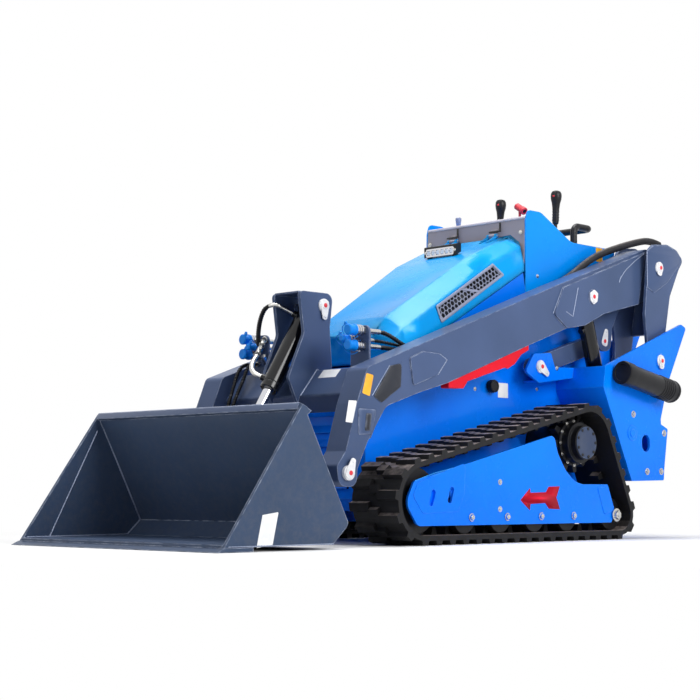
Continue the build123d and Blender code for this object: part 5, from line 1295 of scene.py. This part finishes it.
@dataclass
class Signs:
    """Blank labels, reflectors and the plain arrow on the track frames."""

    film: float = 0.5
    arrow: tuple[Corner, ...] = (
        (-14, 158), (44, 204), (47, 186, 2), (140, 188, 4), (158, 209), (228, 211), (206, 168), (227, 122),
        (158, 124), (136, 146, 4), (47, 143, 2), (42, 119))

    def sheet(self, name: str, body: str, finish: Finish, corners: Sequence[Corner], place: Matrix,
              both: bool = False) -> None:
        """Stick one film on, and its twin on the other side where there is one."""
        label = settle(cut_plate(corners, self.film, 0.1, place), name, finish)
        mounted(label, body)
        if both:
            mounted(mirrored(label, name.replace("_left", "_right")), body)

    def build(self) -> None:
        """Stick all the films on."""
        def side(x: float) -> Matrix:
            return spot(Face.SIDE, x, 0, 0)
        self.sheet("arrow_left", "chassis", ARROW_RED, self.arrow, side(FRAME_X), True)
        self.sheet("panel_label", "chassis", WHITE_FILM, [(153, 564, 3), (215, 564, 3), (215, 623, 3),
                                                          (153, 623, 3)], side(SIDE_X))
        self.sheet("leg_label", "lift_arm", WHITE_FILM, [(-868, 432, 3), (-834, 430, 3), (-812, 508, 3),
                                                         (-852, 508, 3)], side(ARM_OUT_X))
        self.sheet("arm_label", "lift_arm", YELLOW_FILM, [(-786, 536, 5), (-748, 526, 5), (-728, 602, 5),
                                                          (-764, 608, 5)], side(ARM_OUT_X))
        self.sheet("bucket_label", "attachment", WHITE_FILM, [(-1387, 12, 3), (-1318, 20, 3), (-1293, 125, 3),
                                                              (-1362, 116, 3)], side(566.5))
        for i, strip in enumerate(([(812, 1176, 1), (858, 1176, 1), (858, 1236, 1), (812, 1236, 1)],
                                   [(833, 1146, 1), (888, 1150, 1), (888, 1172, 1), (833, 1169, 1)])):
            self.sheet(f"reflector_{i + 1}_left", "chassis", YELLOW_FILM, strip, side(SIDE_X), True)
        slope = Vector((0, -655 + 742, 645 - 542)).normalized()
        place = Matrix.Translation(at(160, -671, 626)) @ Matrix(
            (Vector((1, 0, 0)), slope, Vector((1, 0, 0)).cross(slope))).transposed().to_4x4()
        self.sheet("tube_label", "lift_arm", WHITE_FILM, [(-46, -22, 2), (46, -22, 2), (50, 18, 2), (-42, 18, 2)],
                   place)


@dataclass
class Welds:
    """Beads along the seams of the arms, links, frames and bucket, and the plates that are welded on.

    Attributes:
        pitch: length of one ripple of a bead, drawn longer than the real 2 mm so that it shows.
    """

    pitch: float = 6.0

    def bead(self, corners: Sequence[Point], radius: float) -> bpy.types.Object:
        """Rippled bead along straight runs between the corners."""
        points: list[Vector] = []
        for a, b in zip(corners, corners[1:]):
            start, end = Vector(a), Vector(b)
            count = max(2, int((end - start).length / self.pitch))
            points += [start.lerp(end, k / count) for k in range(count)]
        points.append(Vector(corners[-1]))
        curve = bpy.data.curves.new("bead", "CURVE")
        curve.dimensions = "3D"
        spline = curve.splines.new("POLY")
        spline.points.add(len(points) - 1)
        for i, point in enumerate(points):
            spline.points[i].co = (*at(*point), 1.0)
            spline.points[i].radius = 1.0 if i % 2 else 0.5
        curve.bevel_depth = radius / 1000
        curve.bevel_resolution = 1
        curve.use_fill_caps = True
        item = bpy.data.objects.new("bead", curve)
        bpy.context.scene.collection.objects.link(item)
        pick(item)
        bpy.ops.object.convert(target="MESH")
        return bpy.context.view_layer.objects.active

    def seam(self, name: str, body: str, lines: Sequence[tuple[float, Sequence[Point]]], finish: Finish = WELD_HIGHLIGHT,
             both: bool = True) -> None:
        """Group of beads as one piece, and its mirror image."""
        group = settle(fuse([self.bead(points, radius) for radius, points in lines], name),
                       name + ("_left" if both else ""), finish, 60.0)
        mounted(group, body)
        if both:
            mounted(mirrored(group, name + "_right"), body)

    def patch(self, name: str, body: str, corners: Sequence[Corner], x: float, thick: float,
              finish: Finish) -> None:
        """Plate welded on the outside of both arms or links."""
        plate = settle(cut_plate(corners, thick, 0.8, spot(Face.SIDE, x, 0, 0)), name + "_left", finish)
        mounted(plate, body)
        mounted(mirrored(plate, name + "_right"), body)

    def build(self) -> None:
        """Weld everything up."""
        def on(x: float, *pairs: tuple[float, float]) -> list[Point]:
            return [(x, y, z) for y, z in pairs]
        # Nearly black plate on the arm's bend: painted shade on the bent face
        self.patch("arm_bend_shade_plate", "lift_arm", [(-643, 640, 10), (-585, 652, 10), (-590, 566, 10), (-690, 505, 14),
                                                  (-730, 527, 8)], ARM_OUT_X, 3.0, SHADE_SLATE)
        self.patch("leg_plate", "lift_arm", [(-806, 482, 8), (-714, 480, 8), (-738, 392, 8), (-806, 388, 8)],
                   ARM_OUT_X, 2.0, SLATE)
        self.patch("link_plate", "rear_links", [(884, 1206, 10), (938, 1236, 30), (1038, 1246, 50), (1106, 1228, 30),
                                                (1150, 1190, 16), (1032, 1083, 8), (935, 1031, 8), (884, 1053, 6)],
                   LINK_X, 3.0, SLATE)
        pads = [(-586, 176, 12), (-590, 150, 12), (-520, 128, 12), (-430, 150, 12), (-436, 226, 12), (-560, 212, 12)]
        self.patch("slot_pads", "chassis", pads, FRAME_X - 11.5, 2.0, BLUE)
        # Nearly black slot on the leg plate: painted shade in its recess
        self.patch("leg_slot_shade", "lift_arm", [(-768, 466, 8), (-738, 466, 8), (-748, 404, 8), (-776, 402, 8)],
                   ARM_OUT_X + 2, 1.2, SHADE_SLATE)
        self.seam("arm_seams", "lift_arm", [
            (2.6, on(ARM_OUT_X, (361, 1008), (298, 899))),
            (2.6, on(PATCH_X, (453, 1016), (416, 895), (372, 912))),
            (2.6, on(PATCH_X, (735, 1062), (742, 1080), (783, 1120), (850, 1165), (914, 1200))),
            (2.2, on(ARM_OUT_X, (-735, 529), (-645, 642))),
            (2.2, on(450, (-385, 697), (-344, 677), (-394, 620)))])
        self.seam("link_seams", "rear_links", [(2.6, on(LINK_X + 2, (886, 1204), (885, 1056)))])
        self.seam("bracket_seams", "lift_arm", [(3.2, [(79, -741, 543), (79, -657, 643)]),
                                                (3.0, [(79, -655, 646), (79, -575, 594)])])
        self.seam("frame_seams", "chassis", [(2.4, on(FRAME_X, (-600, 229), (-500, 256), (-395, 264 + 12)))],
                  BLUE_WELD_HIGHLIGHT)
        inner = 552.5
        self.seam("bucket_seams", "attachment", [
            (4.2, [(inner, -1500, 26), (inner, -1049, 29), (inner, -988, 84), (inner, -1168, 434)])])
        self.seam("bucket_lip_seam", "attachment", [(3.4, [(-552, -1190, 482), (552, -1190, 482)])], both=False)
        # Pale strip on the bucket's top lip: painted light where it faces the sky
        lip = bar((1106, 4, 22), spot(Face.TOP, 0, -1194, 472) @ Matrix.Rotation(math.radians(-15), 4, "X"), 1.5)
        mounted(settle(lip, "bucket_lip_painted_highlight", LIT_LIP_SLATE), "attachment")
        self.seam("bucket_brace_seam", "attachment", [(3.4, [(-inner, -1404, 24), (-inner, -1194, 418)])], both=False)
        self.seam("bucket_back_seams", "attachment", [(3.0, on(567, (-1505, 17), (-1046, 17)))])
        self.seam("bucket_edge_seam", "attachment", [(3.2, [(-548, -1404, 22.5), (548, -1404, 22.5)])], both=False)


@dataclass
class HoodSkin:
    """Hood with the long folds along its top rounded, in place of the sharp one.

    Attributes:
        stations: (y, half width of the top) along the hood.
        size: size of the rounding.
    """

    stations: tuple[tuple[float, float], ...] = ((-425, 149), (-380, 164), (60, 190), (318, 196))
    size: float = 34.0

    def on_fold(self, a: Vector, b: Vector) -> bool:
        """Whether an edge runs along the fold between the top and a side."""
        way = (b - a).normalized()
        middle = ((a + b) / 2) * 1000 - ZERO
        half = 0.0
        for (y0, h0), (y1, h1) in zip(self.stations, self.stations[1:]):
            if y0 - 1 <= middle.y <= y1 + 1:
                half = h0 + (middle.y - y0) * (h1 - h0) / (y1 - y0)
        return abs(way.x) < 0.35 and (b - a).length > 0.03 and abs(abs(middle.x) - half) < 7.5

    def build(self) -> None:
        """Copy the hood, merge it and round its folds."""
        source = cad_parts["hood"]
        skin = bpy.data.objects.new("hood_skin", source.data.copy())
        bpy.context.scene.collection.objects.link(skin)
        skin.matrix_world = source.matrix_world.copy()
        pick(skin)
        bpy.ops.object.transform_apply(location=True, rotation=True, scale=True)
        bpy.ops.object.mode_set(mode="EDIT")
        bpy.ops.mesh.select_all(action="SELECT")
        bpy.ops.mesh.remove_doubles(threshold=0.00001)
        bpy.ops.mesh.dissolve_limited(angle_limit=math.radians(0.6))
        bpy.ops.object.mode_set(mode="OBJECT")
        bpy.context.tool_settings.mesh_select_mode = (False, True, False)
        mesh = skin.data
        for part in (*mesh.vertices, *mesh.edges, *mesh.polygons):
            part.select = False
        for edge in mesh.edges:
            edge.select = self.on_fold(*(mesh.vertices[v].co for v in edge.vertices))
        bpy.ops.object.mode_set(mode="EDIT")
        bpy.ops.mesh.bevel(offset=self.size / 1000, segments=6, affect="EDGES", clamp_overlap=True)
        bpy.ops.object.mode_set(mode="OBJECT")
        settle(skin, "hood_skin", LIT_HOOD_BLUE, 32.0)
        mounted(skin, "hood", "hood")


def main() -> None:
    """Dress the loader."""
    logging.basicConfig(level=logging.INFO, format="%(name)s: %(message)s")
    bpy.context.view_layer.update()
    deselect()
    for part in (Studio(), Bodywork(), Hoses(), Grilles(), WorkLight(), Fasteners(), Keepers(), CouplerCaps(),
                 Controls(), ConsoleTrim(), Signs(), Welds(), HoodSkin()):
        part.build()


if __name__ == "__main__":
    main()
